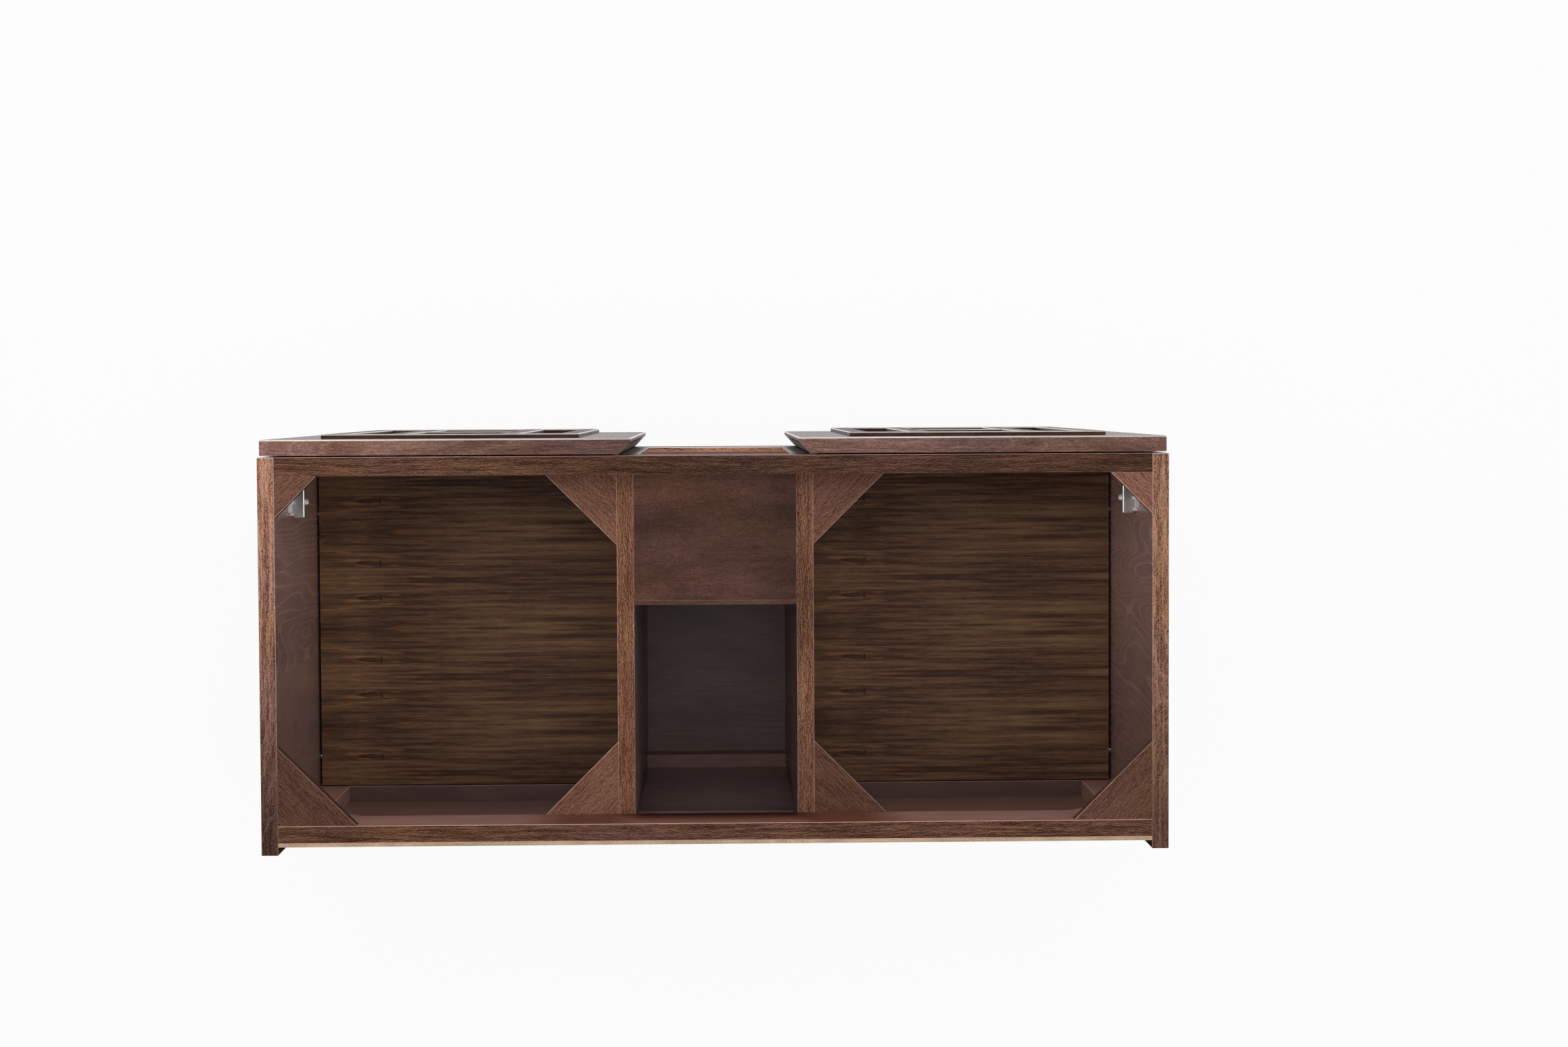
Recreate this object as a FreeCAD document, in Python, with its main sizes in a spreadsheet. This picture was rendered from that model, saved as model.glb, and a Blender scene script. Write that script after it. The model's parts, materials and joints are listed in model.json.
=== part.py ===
import FreeCAD, Part
import os
import re
import Sketcher

# Vanity cabinet without its counter top: an open-topped carcass with two sink bays, a plumbing
# hollow behind an open centre niche, and two fret-fronted doors on concealed one-knuckle hinges.
# Millimetres. X runs to the right seen from the front, Y runs from front to back, Z runs up.
# The origin is under the middle of the whole object, on the floor.

Vector = FreeCAD.Vector
doc = FreeCAD.newDocument("vanity_cabinet")
dims = doc.addObject("Spreadsheet::Sheet", "dims")
nodes = []

# Driving dimensions
SIZES = {
    # Carcass
    "cabinet_width": 1200,
    "cabinet_height": 864,
    "side_depth": 525,
    "side_thickness": 22,
    "glide_height": 6,
    "glide_radius": 9,
    "glide_inset": 30,
    "base_clearance": 60,
    "floor_height": 90,
    "bottom_thickness": 18,
    "front_frame_depth": 25,
    "front_rail_height": 104,
    "back_frame_depth": 23,
    "back_rail_height": 90,
    "back_foot_rail_height": 50,
    "back_post_width": 44,
    "haunch_width": 55,
    "haunch_drop": 57,
    "mid_rail_height": 60,
    "back_panel_thickness": 5,
    "back_recess": 11,
    # Centre niche and hollow
    "partition_thickness": 23,
    "hollow_width": 219,
    "inner_drop": 86,
    "stile_width": 29,
    "niche_depth": 172,
    "niche_board": 18,
    "niche_back_thickness": 6,
    "niche_floor_height": 174,
    "niche_shelf_height": 476,
    "niche_shelf_play": 1,
    "hollow_back_thickness": 3,
    "hollow_back_drop": 246,
    # Corner gussets
    "gusset_thickness": 18,
    "gusset_front_outer": 55,
    "gusset_front_inner": 97,
    "gusset_back_outer": 104,
    "gusset_back_inner": 98,
    # Adjustable shelves and their pins
    "shelf_height": 478,
    "shelf_thickness": 18,
    "shelf_side_gap": 4,
    "shelf_front_setback": 20,
    "shelf_back_gap": 2,
    "pin_radius": 2.5,
    "pin_depth": 9,
    "pin_reach": 9,
    "pin_collar_radius": 4,
    "pin_collar_depth": 2,
    "pin_clearance": 0.05,
    "pin_front_inset": 69,
    "pin_back_inset": 42,
    "pin_pitch": 80,
    # Doors and fret
    "door_gap": 2,
    "door_thickness": 21,
    "door_reveal": 2.7,
    "door_top_gap": 4,
    "door_bottom_height": 75,
    "door_spacing": 221.4,
    "door_edge_round": 1.5,
    "bevel_width": 15,
    "bevel_land": 5,
    "fret_thickness": 6,
    "fret_margin": 71,
    "fret_bar": 26,
    "fret_side_slot": 58,
    "bumper_radius": 5,
    "bumper_thickness": 1.6,
    "bumper_inset": 30,
    "bumper_edge_gap": 1,
    # Concealed hinges
    "hinge_inset": 136,
    "pivot_edge": 7,
    "pivot_depth": 10.5,
    "knuckle_radius": 2.8,
    "knuckle_clearance": 0.4,
    "hinge_pin_radius": 1.5,
    "hinge_pin_clearance": 0.05,
    "arm_height": 18,
    "neck_height": 9,
    "neck_thickness": 3,
    "neck_drop": 2.6,
    "arm_web": 2,
    "arm_flange": 1.5,
    "arm_offset": 4,
    "arm_crank": 6,
    "leg_clearance": 1.5,
    "arm_start": 10,
    "arm_end": 84,
    "plate_start": 44,
    "plate_length": 38,
    "plate_play": 0.5,
    "wing_width": 28,
    "wing_height": 52,
    "wing_thickness": 6.5,
    "wing_screw_spacing": 36,
    "cup_radius": 17.5,
    "cup_wall": 0.8,
    "cup_floor": 0.7,
    "cup_bore_clearance": 0.05,
    "ear_gap": 0.5,
    "ear_height": 4,
    "ear_half_width": 3.4,
    "flange_thickness": 1,
    "flange_width": 22,
    "flange_height": 58,
    "cup_screw_spacing": 46,
    "screw_radius": 1.8,
    "screw_length": 15,
    "screw_head_radius": 3.4,
    "screw_head_height": 1.6,
    "cup_screw_head_height": 0.6,
    "arm_screw_head_radius": 4.5,
    "arm_screw_head_height": 4,
    "screw_clearance": 0.05,
}

for row, (alias, number) in enumerate(SIZES.items(), start=1):
    dims.set(f"A{row}", alias)
    dims.set(f"B{row}", str(number))
    dims.setAlias(f"B{row}", alias)
doc.recompute()


def tie(text):
    """Turn the plain words of a formula into references to the sheet."""
    return re.sub(r"[a-z_]+", lambda word: f"dims.{word[0]}" if word[0] in SIZES else word[0], text)


def bind(item, **formulas):
    for name, text in formulas.items():
        item.setExpression(name, tie(text))


def place(item, corner, turn=None):
    """Put an item at a corner given as three formulas, with an optional fixed turn."""
    if turn:
        item.Placement = FreeCAD.Placement(Vector(), FreeCAD.Rotation(Vector(*turn[0]), turn[1]))
    for axis, text in zip("xyz", corner):
        item.setExpression(f"Placement.Base.{axis}", tie(text))


def name_node(item, label):
    item.Label = label
    nodes.append(item)
    return item


def block(size, corner):
    item = doc.addObject("Part::Box", "block")
    bind(item, Length=size[0], Width=size[1], Height=size[2])
    place(item, corner)
    return item


# Turns that lay a rod, made upright, along each direction
ALONG = {
    "+z": None,
    "+x": ((0, 1, 0), 90),
    "-x": ((0, 1, 0), -90),
    "+y": ((1, 0, 0), -90),
    "-y": ((1, 0, 0), 90),
}
OPPOSITE = {"+x": "-x", "-x": "+x", "-y": "+y"}


def rod(radius, length, start, along):
    item = doc.addObject("Part::Cylinder", "rod")
    bind(item, Radius=radius, Height=length)
    place(item, start, ALONG[along])
    return item


def cut(base, tools):
    item = doc.addObject("Part::Cut", "cut")
    item.Base = base
    item.Tool = tools[0] if len(tools) == 1 else group(tools)
    item.Refine = True
    return item


def fuse(items):
    item = doc.addObject("Part::MultiFuse", "fuse")
    item.Shapes = items
    item.Refine = True
    return item


def common(items):
    item = doc.addObject("Part::MultiCommon", "common")
    item.Shapes = items
    return item


def group(items):
    item = doc.addObject("Part::Compound", "group")
    item.Links = items
    return item


def polygon_pad(outlines, role, height):
    """A pad of one or more closed outlines, each a list of corners given as formulas."""
    body = doc.addObject("PartDesign::Body", "body")
    sketch = body.newObject("Sketcher::SketchObject", "outline")
    plane = next(item for item in body.Origin.OriginFeatures if item.Role == role)
    sketch.AttachmentSupport = (plane, [""])
    sketch.MapMode = "FlatFace"
    for corners in outlines:
        first = sketch.GeometryCount
        count = len(corners)
        spots = [Vector(*(float(dims.evalExpression(tie(text))) for text in corner)) for corner in corners]
        for index in range(count):
            sketch.addGeometry(Part.LineSegment(spots[index], spots[(index + 1) % count]), False)
        for index in range(count):
            after = first + (index + 1) % count
            sketch.addConstraint(Sketcher.Constraint("Coincident", first + index, 2, after, 1))
        for index, corner in enumerate(corners):
            for kind, text, spot in zip(("DistanceX", "DistanceY"), corner, spots[index]):
                number = sketch.addConstraint(Sketcher.Constraint(kind, -1, 1, first + index, 1, spot))
                sketch.setExpression(f"Constraints[{number}]", tie(text))
    pad = body.newObject("PartDesign::Pad", "pad")
    pad.Profile = sketch
    bind(pad, Length=height)
    doc.recompute()
    return body


# Reference planes and lines that many pieces share
FRONT = "((fret_thickness + door_thickness + door_gap - side_depth) / 2)"
TOP = "cabinet_height"
INNER = "(cabinet_width / 2 - side_thickness)"
SPAN = "(cabinet_width - 2 * side_thickness)"
FRAME_BACK = f"({FRONT} + front_frame_depth)"
PANEL_FACE = f"({FRONT} + side_depth - back_recess - back_panel_thickness)"
BACK_FACE = f"({PANEL_FACE} - back_frame_depth)"
INNER_LENGTH = "(side_depth - back_recess - back_panel_thickness - back_frame_depth - front_frame_depth)"
PARTITION_OUT = "(hollow_width / 2 + partition_thickness)"
PARTITION_TOP = "(cabinet_height - inner_drop)"
OPENING_HALF = f"({PARTITION_OUT} - stile_width)"
FOOT_RAIL_TOP = "(floor_height + back_foot_rail_height)"
NICHE_FACE = f"({FRAME_BACK} + niche_depth)"
DOOR_OUT = "(cabinet_width / 2 - door_reveal)"
DOOR_TOP = "(cabinet_height - door_top_gap)"
DOOR_TALL = "(cabinet_height - door_top_gap - door_bottom_height)"
DOOR_WIDE = "(cabinet_width / 2 - door_reveal - door_spacing / 2)"
DOOR_BACK = f"({FRONT} - door_gap)"
DOOR_FRONT = f"({FRONT} - door_gap - door_thickness)"
PIVOT_X = f"({DOOR_OUT} - pivot_edge)"
PIVOT_Y = f"({DOOR_BACK} - pivot_depth)"
HINGE_LEVELS = ("(door_bottom_height + hinge_inset)", f"({DOOR_TOP} - hinge_inset)")
PLATE_MIDDLE = f"({FRONT} + plate_start + plate_length / 2)"
SIDES = (("left", -1), ("right", 1))


def low_x(sign, inner, size):
    """The low X corner of a block that starts at a distance from the middle and runs outwards."""
    return inner if sign > 0 else f"-({inner} + {size})"


def at_x(sign, distance):
    return distance if sign > 0 else f"-({distance})"


def outward(sign):
    return "+x" if sign > 0 else "-x"


def inward(sign):
    return "-x" if sign > 0 else "+x"


# Shelf pin rows: the levels of the holes and the places of the two columns
PIN_LEVEL = "(shelf_height - shelf_thickness - pin_radius)"
PIN_LEVELS = (f"({PIN_LEVEL} - pin_pitch)", PIN_LEVEL, f"({PIN_LEVEL} + pin_pitch)")
PIN_ROWS = (f"({FRONT} + shelf_front_setback + pin_front_inset)", f"({BACK_FACE} - pin_back_inset)")
NICHE_PIN_LEVEL = "(niche_shelf_height - niche_board - pin_radius)"
NICHE_PIN_ROWS = (f"({FRAME_BACK} + pin_front_inset)", f"({NICHE_FACE} - pin_back_inset)")


def pin_holes(face, along):
    radius = "pin_radius + pin_clearance"
    return [rod(radius, "pin_depth", (face, row, level), along) for level in PIN_LEVELS for row in PIN_ROWS]


def shelf_pin(face, row, level, along, reach):
    """A turned pin with a collar on the wall, a shank in the hole and a peg under the shelf."""
    shank = rod("pin_radius", "pin_depth", (face, row, level), OPPOSITE[along])
    collar = rod("pin_collar_radius", "pin_collar_depth", (face, row, level), along)
    peg = rod("pin_radius", reach, (face, row, level), along)
    return fuse([shank, collar, peg])


def screw(seat, along, head_height, head_radius="screw_head_radius"):
    """A round-headed screw; the head's underside is at the seat and the shank runs along."""
    shank = rod("screw_radius", "screw_length", seat, along)
    head = doc.addObject("Part::Cone", "head")
    bind(head, Radius1=head_radius, Radius2=f"{head_radius} - {head_height} / 2",
         Height=head_height)
    place(head, seat, ALONG[OPPOSITE[along]])
    return fuse([shank, head])


def wing_spots():
    """The two plate screws of each hinge, as Y and Z formulas."""
    return [(PLATE_MIDDLE, f"({level} + {step} * wing_screw_spacing / 2)")
            for level in HINGE_LEVELS for step in (-1, 1)]


# Side panels, drilled for shelf pins and hinge screws
for side, sign in SIDES:
    panel = block(("side_thickness", "side_depth", f"{TOP} - glide_height"),
                  (low_x(sign, INNER, "side_thickness"), FRONT, "glide_height"))
    holes = pin_holes(at_x(sign, INNER), outward(sign))
    for spot_y, spot_z in wing_spots():
        holes.append(rod("screw_radius + screw_clearance", "screw_length - wing_thickness",
                         (at_x(sign, INNER), spot_y, spot_z), outward(sign)))
    name_node(cut(panel, holes), f"side_panel_{side}")

# Glides under the four corners of the side panels
glides = []
for side, sign in SIDES:
    for row in (f"{FRONT} + glide_inset", f"{FRONT} + side_depth - glide_inset"):
        glides.append(rod("glide_radius", "glide_height",
                          (at_x(sign, "(cabinet_width - side_thickness) / 2"), row, "0"), "+z"))
name_node(group(glides), "floor_glides")

# Front frame: rails across the whole width and two stiles beside the niche
name_node(block((SPAN, "front_frame_depth", "front_rail_height"),
                (f"-{INNER}", FRONT, f"{TOP} - front_rail_height")), "front_top_rail")
name_node(block((SPAN, "front_frame_depth", "floor_height - base_clearance"),
                (f"-{INNER}", FRONT, "base_clearance")), "front_bottom_rail")
for side, sign in SIDES:
    name_node(block(("stile_width", "front_frame_depth", f"{TOP} - front_rail_height - floor_height"),
                    (low_x(sign, OPENING_HALF, "stile_width"), FRONT, "floor_height")),
              f"niche_stile_{side}")
name_node(block((f"2 * {OPENING_HALF}", "front_frame_depth", "niche_floor_height - floor_height"),
                (f"-{OPENING_HALF}", FRONT, "floor_height")), "niche_apron")

# Cabinet bottom
name_node(block((SPAN, f"{INNER_LENGTH} + back_frame_depth", "bottom_thickness"),
                (f"-{INNER}", FRAME_BACK, "floor_height - bottom_thickness")), "bottom_panel")

# Back frame: top rail with sloped haunches, foot rail, end posts and short rails at shelf level
HAUNCH_END = "(back_post_width + haunch_width)"
RAIL_TOP = "(haunch_drop + back_rail_height)"
top_rail = polygon_pad([[
    ("0", "haunch_drop"),
    ("back_post_width", "haunch_drop"),
    ("back_post_width", "0"),
    (HAUNCH_END, "haunch_drop"),
    (f"{SPAN} - {HAUNCH_END}", "haunch_drop"),
    (f"{SPAN} - back_post_width", "0"),
    (f"{SPAN} - back_post_width", "haunch_drop"),
    (SPAN, "haunch_drop"),
    (SPAN, RAIL_TOP),
    ("0", RAIL_TOP),
]], "XZ_Plane", "back_frame_depth")
place(top_rail, (f"-{INNER}", PANEL_FACE, f"{TOP} - {RAIL_TOP}"))
name_node(top_rail, "back_top_rail")
name_node(block((SPAN, "back_frame_depth", "back_foot_rail_height"),
                (f"-{INNER}", BACK_FACE, "floor_height")), "back_foot_rail")
for side, sign in SIDES:
    post_x = low_x(sign, f"({INNER} - back_post_width)", "back_post_width")
    name_node(block(("back_post_width", "back_frame_depth", f"{TOP} - back_rail_height - {FOOT_RAIL_TOP}"),
                    (post_x, BACK_FACE, FOOT_RAIL_TOP)), f"back_post_{side}")
    reach = f"({INNER} - back_post_width - {PARTITION_OUT})"
    name_node(block((reach, "back_frame_depth", "mid_rail_height"),
                    (low_x(sign, PARTITION_OUT, reach), BACK_FACE, "shelf_height - mid_rail_height")),
              f"back_mid_rail_{side}")
name_node(block((SPAN, "back_panel_thickness", f"{TOP} - base_clearance"),
                (f"-{INNER}", PANEL_FACE, "base_clearance")), "back_panel")

# Partitions, drilled on both faces, and the boards of the niche between them
for side, sign in SIDES:
    board = block(("partition_thickness", INNER_LENGTH, f"{PARTITION_TOP} - floor_height"),
                  (low_x(sign, "hollow_width / 2", "partition_thickness"), FRAME_BACK, "floor_height"))
    holes = pin_holes(at_x(sign, PARTITION_OUT), inward(sign))
    for row in NICHE_PIN_ROWS:
        holes.append(rod("pin_radius + pin_clearance", "pin_depth",
                         (at_x(sign, "hollow_width / 2"), row, NICHE_PIN_LEVEL), outward(sign)))
    name_node(cut(board, holes), f"partition_{side}")
for label, upper_face in (("niche_top", PARTITION_TOP), ("niche_floor", "niche_floor_height")):
    name_node(block(("hollow_width", "niche_depth", "niche_board"),
                    ("-hollow_width / 2", FRAME_BACK, f"{upper_face} - niche_board")), label)
name_node(block(("hollow_width", "niche_back_thickness", f"{PARTITION_TOP} - floor_height"),
                ("-hollow_width / 2", NICHE_FACE, "floor_height")), "niche_back")
name_node(block((f"2 * ({OPENING_HALF} - niche_shelf_play)",
                 "front_frame_depth + niche_depth - 2 * niche_shelf_play", "niche_board"),
                (f"niche_shelf_play - {OPENING_HALF}", f"{FRONT} + niche_shelf_play",
                 "niche_shelf_height - niche_board")), "niche_shelf")
for side, sign in SIDES:
    name_node(block(("partition_thickness", "back_frame_depth", f"{TOP} - back_rail_height - {FOOT_RAIL_TOP}"),
                    (low_x(sign, "hollow_width / 2", "partition_thickness"), BACK_FACE, FOOT_RAIL_TOP)),
              f"hollow_post_{side}")
name_node(block(("hollow_width", "hollow_back_thickness", f"{TOP} - hollow_back_drop - {FOOT_RAIL_TOP}"),
                ("-hollow_width / 2", f"{PANEL_FACE} - hollow_back_thickness", FOOT_RAIL_TOP)), "hollow_back")

# Corner gussets: flush with the top at the side panels, level with the partitions inside
GUSSETS = (
    ("front_outer", INNER, FRAME_BACK, TOP, -1, 1),
    ("front_inner", PARTITION_OUT, FRAME_BACK, PARTITION_TOP, 1, 1),
    ("back_outer", INNER, BACK_FACE, TOP, -1, -1),
    ("back_inner", PARTITION_OUT, BACK_FACE, PARTITION_TOP, 1, -1),
)
QUARTER_TURNS = {(1, 1): 0, (-1, 1): 90, (-1, -1): 180, (1, -1): 270}
for corner, beside, behind, level, toward_x, toward_y in GUSSETS:
    for side, sign in SIDES:
        leg = f"gusset_{corner}"
        plate = polygon_pad([[("0", "0"), (leg, "0"), ("0", leg)]], "XY_Plane", "gusset_thickness")
        turn = QUARTER_TURNS[toward_x * sign, toward_y]
        place(plate, (at_x(sign, beside), behind, f"{level} - gusset_thickness"), ((0, 0, 1), turn))
        name_node(plate, f"gusset_{corner}_{side}")

# Adjustable shelves of the side bays and the niche, and the pins that carry them
SHELF_IN = f"({PARTITION_OUT} + shelf_side_gap)"
SHELF_WIDE = f"({INNER} - {PARTITION_OUT} - 2 * shelf_side_gap)"
SHELF_START = f"({FRONT} + shelf_front_setback)"
for side, sign in SIDES:
    name_node(block((SHELF_WIDE, f"{BACK_FACE} - shelf_back_gap - {SHELF_START}", "shelf_thickness"),
                    (low_x(sign, SHELF_IN, SHELF_WIDE), SHELF_START, "shelf_height - shelf_thickness")),
              f"shelf_{side}")
    pins = []
    for row in PIN_ROWS:
        pins.append(shelf_pin(at_x(sign, INNER), row, PIN_LEVEL, inward(sign), "pin_reach"))
        pins.append(shelf_pin(at_x(sign, PARTITION_OUT), row, PIN_LEVEL, outward(sign), "pin_reach"))
    name_node(group(pins), f"shelf_pins_{side}")
niche_pins = []
for side, sign in SIDES:
    for row in NICHE_PIN_ROWS:
        niche_pins.append(shelf_pin(at_x(sign, "hollow_width / 2"), row, NICHE_PIN_LEVEL, inward(sign),
                                    f"pin_reach + hollow_width / 2 - {OPENING_HALF}"))
name_node(group(niche_pins), "niche_shelf_pins")

# Doors: a slab with a bevelled free edge for the fingers and cups in its back.
# The right door is the left one turned end over end, as both have the same hinge places.
FLIP = ((0, 1, 0), 180)
CAVITY_AT_EARS = "pow(pow(cup_radius - cup_wall; 2) - pow(neck_height / 2 + ear_gap; 2); 0.5)"
CAVITY_AT_NECK = "pow(pow(cup_radius - cup_wall; 2) - pow(neck_height / 2; 2); 0.5)"
CUP_X = f"({PIVOT_X} - {CAVITY_AT_EARS} + knuckle_radius + knuckle_clearance)"
CAVITY_DEPTH = "(pivot_depth + knuckle_radius + knuckle_clearance)"
CUP_DEPTH = f"({CAVITY_DEPTH} + cup_floor)"
PIN_LENGTH = "(neck_height + 2 * ear_gap + 2 * ear_height)"
BUMPER_X = "(door_spacing / 2 + bevel_width + bumper_edge_gap + bumper_radius)"
BUMPER_LEVELS = ("door_bottom_height + bumper_inset", f"{DOOR_TOP} - bumper_inset")


def cup_spots():
    """The two flange screws of each cup, as Z formulas."""
    return [f"({level} + {step} * cup_screw_spacing / 2)" for level in HINGE_LEVELS for step in (-1, 1)]


def hinge_cup(sign, level):
    """A steel cup with a flange on the door's back and two ears that hold the pin."""
    mouth = (at_x(sign, CUP_X), DOOR_BACK, level)
    shell = rod("cup_radius", CUP_DEPTH, mouth, "-y")
    flange = block(("flange_width", "flange_thickness", "flange_height"),
                   (f"{at_x(sign, CUP_X)} - flange_width / 2", DOOR_BACK, f"{level} - flange_height / 2"))
    mouth_high = (mouth[0], f"{DOOR_BACK} + flange_thickness", level)
    cavity = rod("cup_radius - cup_wall", f"{CAVITY_DEPTH} + flange_thickness", mouth_high, "-y")
    hollow = cut(fuse([shell, flange]), [cavity])
    ears = []
    for step in (-1, 1):
        middle = f"{level} + {step} * (neck_height / 2 + ear_gap + ear_height / 2)"
        tab = block(("2 * ear_half_width", CAVITY_DEPTH, "ear_height"),
                    (f"{at_x(sign, PIVOT_X)} - ear_half_width", f"{DOOR_BACK} - {CAVITY_DEPTH}",
                     f"{middle} - ear_height / 2"))
        filler = rod("cup_radius - cup_wall / 2", CUP_DEPTH, mouth, "-y")
        ears.append(common([tab, filler]))
    pin_hole = rod("hinge_pin_radius", PIN_LENGTH,
                   (at_x(sign, PIVOT_X), PIVOT_Y, f"{level} - {PIN_LENGTH} / 2"), "+z")
    screw_holes = []
    for step in (-1, 1):
        screw_holes.append(rod("screw_radius + screw_clearance", "flange_thickness",
                               (at_x(sign, CUP_X), f"{DOOR_BACK} + flange_thickness",
                                f"{level} + {step} * cup_screw_spacing / 2"), "-y"))
    return cut(fuse([hollow] + ears), [pin_hole] + screw_holes)


for side, sign in SIDES:
    slab = polygon_pad([[
        ("0", "0"),
        (DOOR_WIDE, "0"),
        (DOOR_WIDE, "bevel_land"),
        (f"{DOOR_WIDE} - bevel_width", "door_thickness"),
        ("0", "door_thickness"),
    ]], "XY_Plane", DOOR_TALL)
    pad = slab.Tip
    back_edge = next(f"Edge{number}" for number, edge in enumerate(pad.Shape.Edges, start=1)
                     if all(abs(point.X) < 1e-6 and abs(point.Y - SIZES["door_thickness"]) < 1e-6
                            for point in edge.Vertexes))
    round_edge = slab.newObject("PartDesign::Fillet", "eased_edge")
    round_edge.Base = (pad, [back_edge])
    bind(round_edge, Radius="door_edge_round")
    slab.Tip = round_edge
    edge_z = DOOR_TOP if sign > 0 else "door_bottom_height"
    place(slab, (at_x(sign, DOOR_OUT), DOOR_FRONT, edge_z), FLIP if sign > 0 else None)
    bores = [rod("cup_radius + cup_bore_clearance", f"{CUP_DEPTH} + cup_bore_clearance",
                 (at_x(sign, CUP_X), DOOR_BACK, level), "-y") for level in HINGE_LEVELS]
    for level in cup_spots():
        bores.append(rod("screw_radius + screw_clearance",
                         "screw_length - flange_thickness + screw_clearance",
                         (at_x(sign, CUP_X), DOOR_BACK, level), "-y"))
    name_node(cut(slab, bores), f"door_{side}")
    name_node(group([hinge_cup(sign, level) for level in HINGE_LEVELS]), f"hinge_cups_{side}")
    seats = [(at_x(sign, CUP_X), f"{DOOR_BACK} + flange_thickness", level) for level in cup_spots()]
    name_node(group([screw(seat, "-y", "cup_screw_head_height") for seat in seats]),
              f"hinge_cup_screws_{side}")
    feet = [(at_x(sign, PIVOT_X), PIVOT_Y, f"{level} - {PIN_LENGTH} / 2") for level in HINGE_LEVELS]
    name_node(group([rod("hinge_pin_radius", PIN_LENGTH, foot, "+z") for foot in feet]),
              f"hinge_pins_{side}")
    spots = [(at_x(sign, BUMPER_X), DOOR_BACK, level) for level in BUMPER_LEVELS]
    name_node(group([rod("bumper_radius", "bumper_thickness", spot, "+y") for spot in spots]),
              f"door_bumpers_{side}")

# Frets on the door fronts: two rails, four upright bars between them and a crossbar in the middle
FRET_IN = "(door_spacing / 2 + fret_margin)"
FRET_WIDE = f"({DOOR_WIDE} - 2 * fret_margin)"
FRET_LOW = "(door_bottom_height + fret_margin)"
FRET_HIGH = f"({DOOR_TOP} - fret_margin)"
BAR_TALL = f"({FRET_HIGH} - {FRET_LOW} - 2 * fret_bar)"
SLOT_STEP = "(fret_bar + fret_side_slot)"
BAR_STEPS = ("0", SLOT_STEP, f"({FRET_WIDE} - fret_bar - {SLOT_STEP})", f"({FRET_WIDE} - fret_bar)")
CROSSBAR_WIDE = f"({FRET_WIDE} - 2 * {SLOT_STEP} - 2 * fret_bar)"
FRET_FACE = f"({DOOR_FRONT} - fret_thickness)"
for side, sign in SIDES:
    rails = [block((FRET_WIDE, "fret_thickness", "fret_bar"),
                   (low_x(sign, FRET_IN, FRET_WIDE), FRET_FACE, low))
             for low in (FRET_LOW, f"({FRET_HIGH} - fret_bar)")]
    bars = [block(("fret_bar", "fret_thickness", BAR_TALL),
                  (low_x(sign, f"({FRET_IN} + {step})", "fret_bar"), FRET_FACE, f"{FRET_LOW} + fret_bar"))
            for step in BAR_STEPS]
    crossbar_x = low_x(sign, f"({FRET_IN} + {SLOT_STEP} + fret_bar)", CROSSBAR_WIDE)
    crossbar = block((CROSSBAR_WIDE, "fret_thickness", "fret_bar"),
                     (crossbar_x, FRET_FACE, f"({FRET_LOW} + {FRET_HIGH} - fret_bar) / 2"))
    name_node(group(rails), f"fret_rails_{side}")
    name_node(group(bars), f"fret_bars_{side}")
    name_node(crossbar, f"fret_crossbar_{side}")

# Hinge arms and their mounting plates on the side panels
LEG_FACE = f"({CUP_X} - {CAVITY_AT_NECK} + leg_clearance)"
ARM_FACE = f"({LEG_FACE} - arm_crank)"


def hinge_arm(sign, level):
    """A channel over the plate, with a neck that reaches into the cup and ends in the knuckle."""
    low = f"({level} - neck_height / 2)"
    knuckle = rod("knuckle_radius", "neck_height", (at_x(sign, PIVOT_X), PIVOT_Y, low), "+z")
    neck_long = f"({PIVOT_X} - {LEG_FACE})"
    neck = block((neck_long, "neck_thickness", "neck_height"),
                 (low_x(sign, LEG_FACE, neck_long), f"{PIVOT_Y} - neck_drop", low))
    leg = block(("arm_offset", f"{FRONT} + arm_start - {PIVOT_Y} + neck_drop + arm_web", "neck_height"),
                (low_x(sign, LEG_FACE, "arm_offset"), f"{PIVOT_Y} - neck_drop", low))
    deep = f"({INNER} - {ARM_FACE} - wing_thickness - plate_play)"
    channel = block((deep, "arm_end - arm_start", "arm_height"),
                    (low_x(sign, ARM_FACE, deep), f"{FRONT} + arm_start", f"{level} - arm_height / 2"))
    inside = block((deep, "arm_end - arm_start", "arm_height - 2 * arm_flange"),
                   (low_x(sign, f"({ARM_FACE} + arm_web)", deep), f"{FRONT} + arm_start + arm_web",
                    f"{level} - arm_height / 2 + arm_flange"))
    bore = rod("hinge_pin_radius + hinge_pin_clearance", "neck_height",
               (at_x(sign, PIVOT_X), PIVOT_Y, low), "+z")
    fixing = rod("screw_radius + screw_clearance", "arm_web",
                 (at_x(sign, ARM_FACE), PLATE_MIDDLE, level), outward(sign))
    return cut(fuse([cut(channel, [inside]), leg, neck, knuckle]), [bore, fixing])


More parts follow.
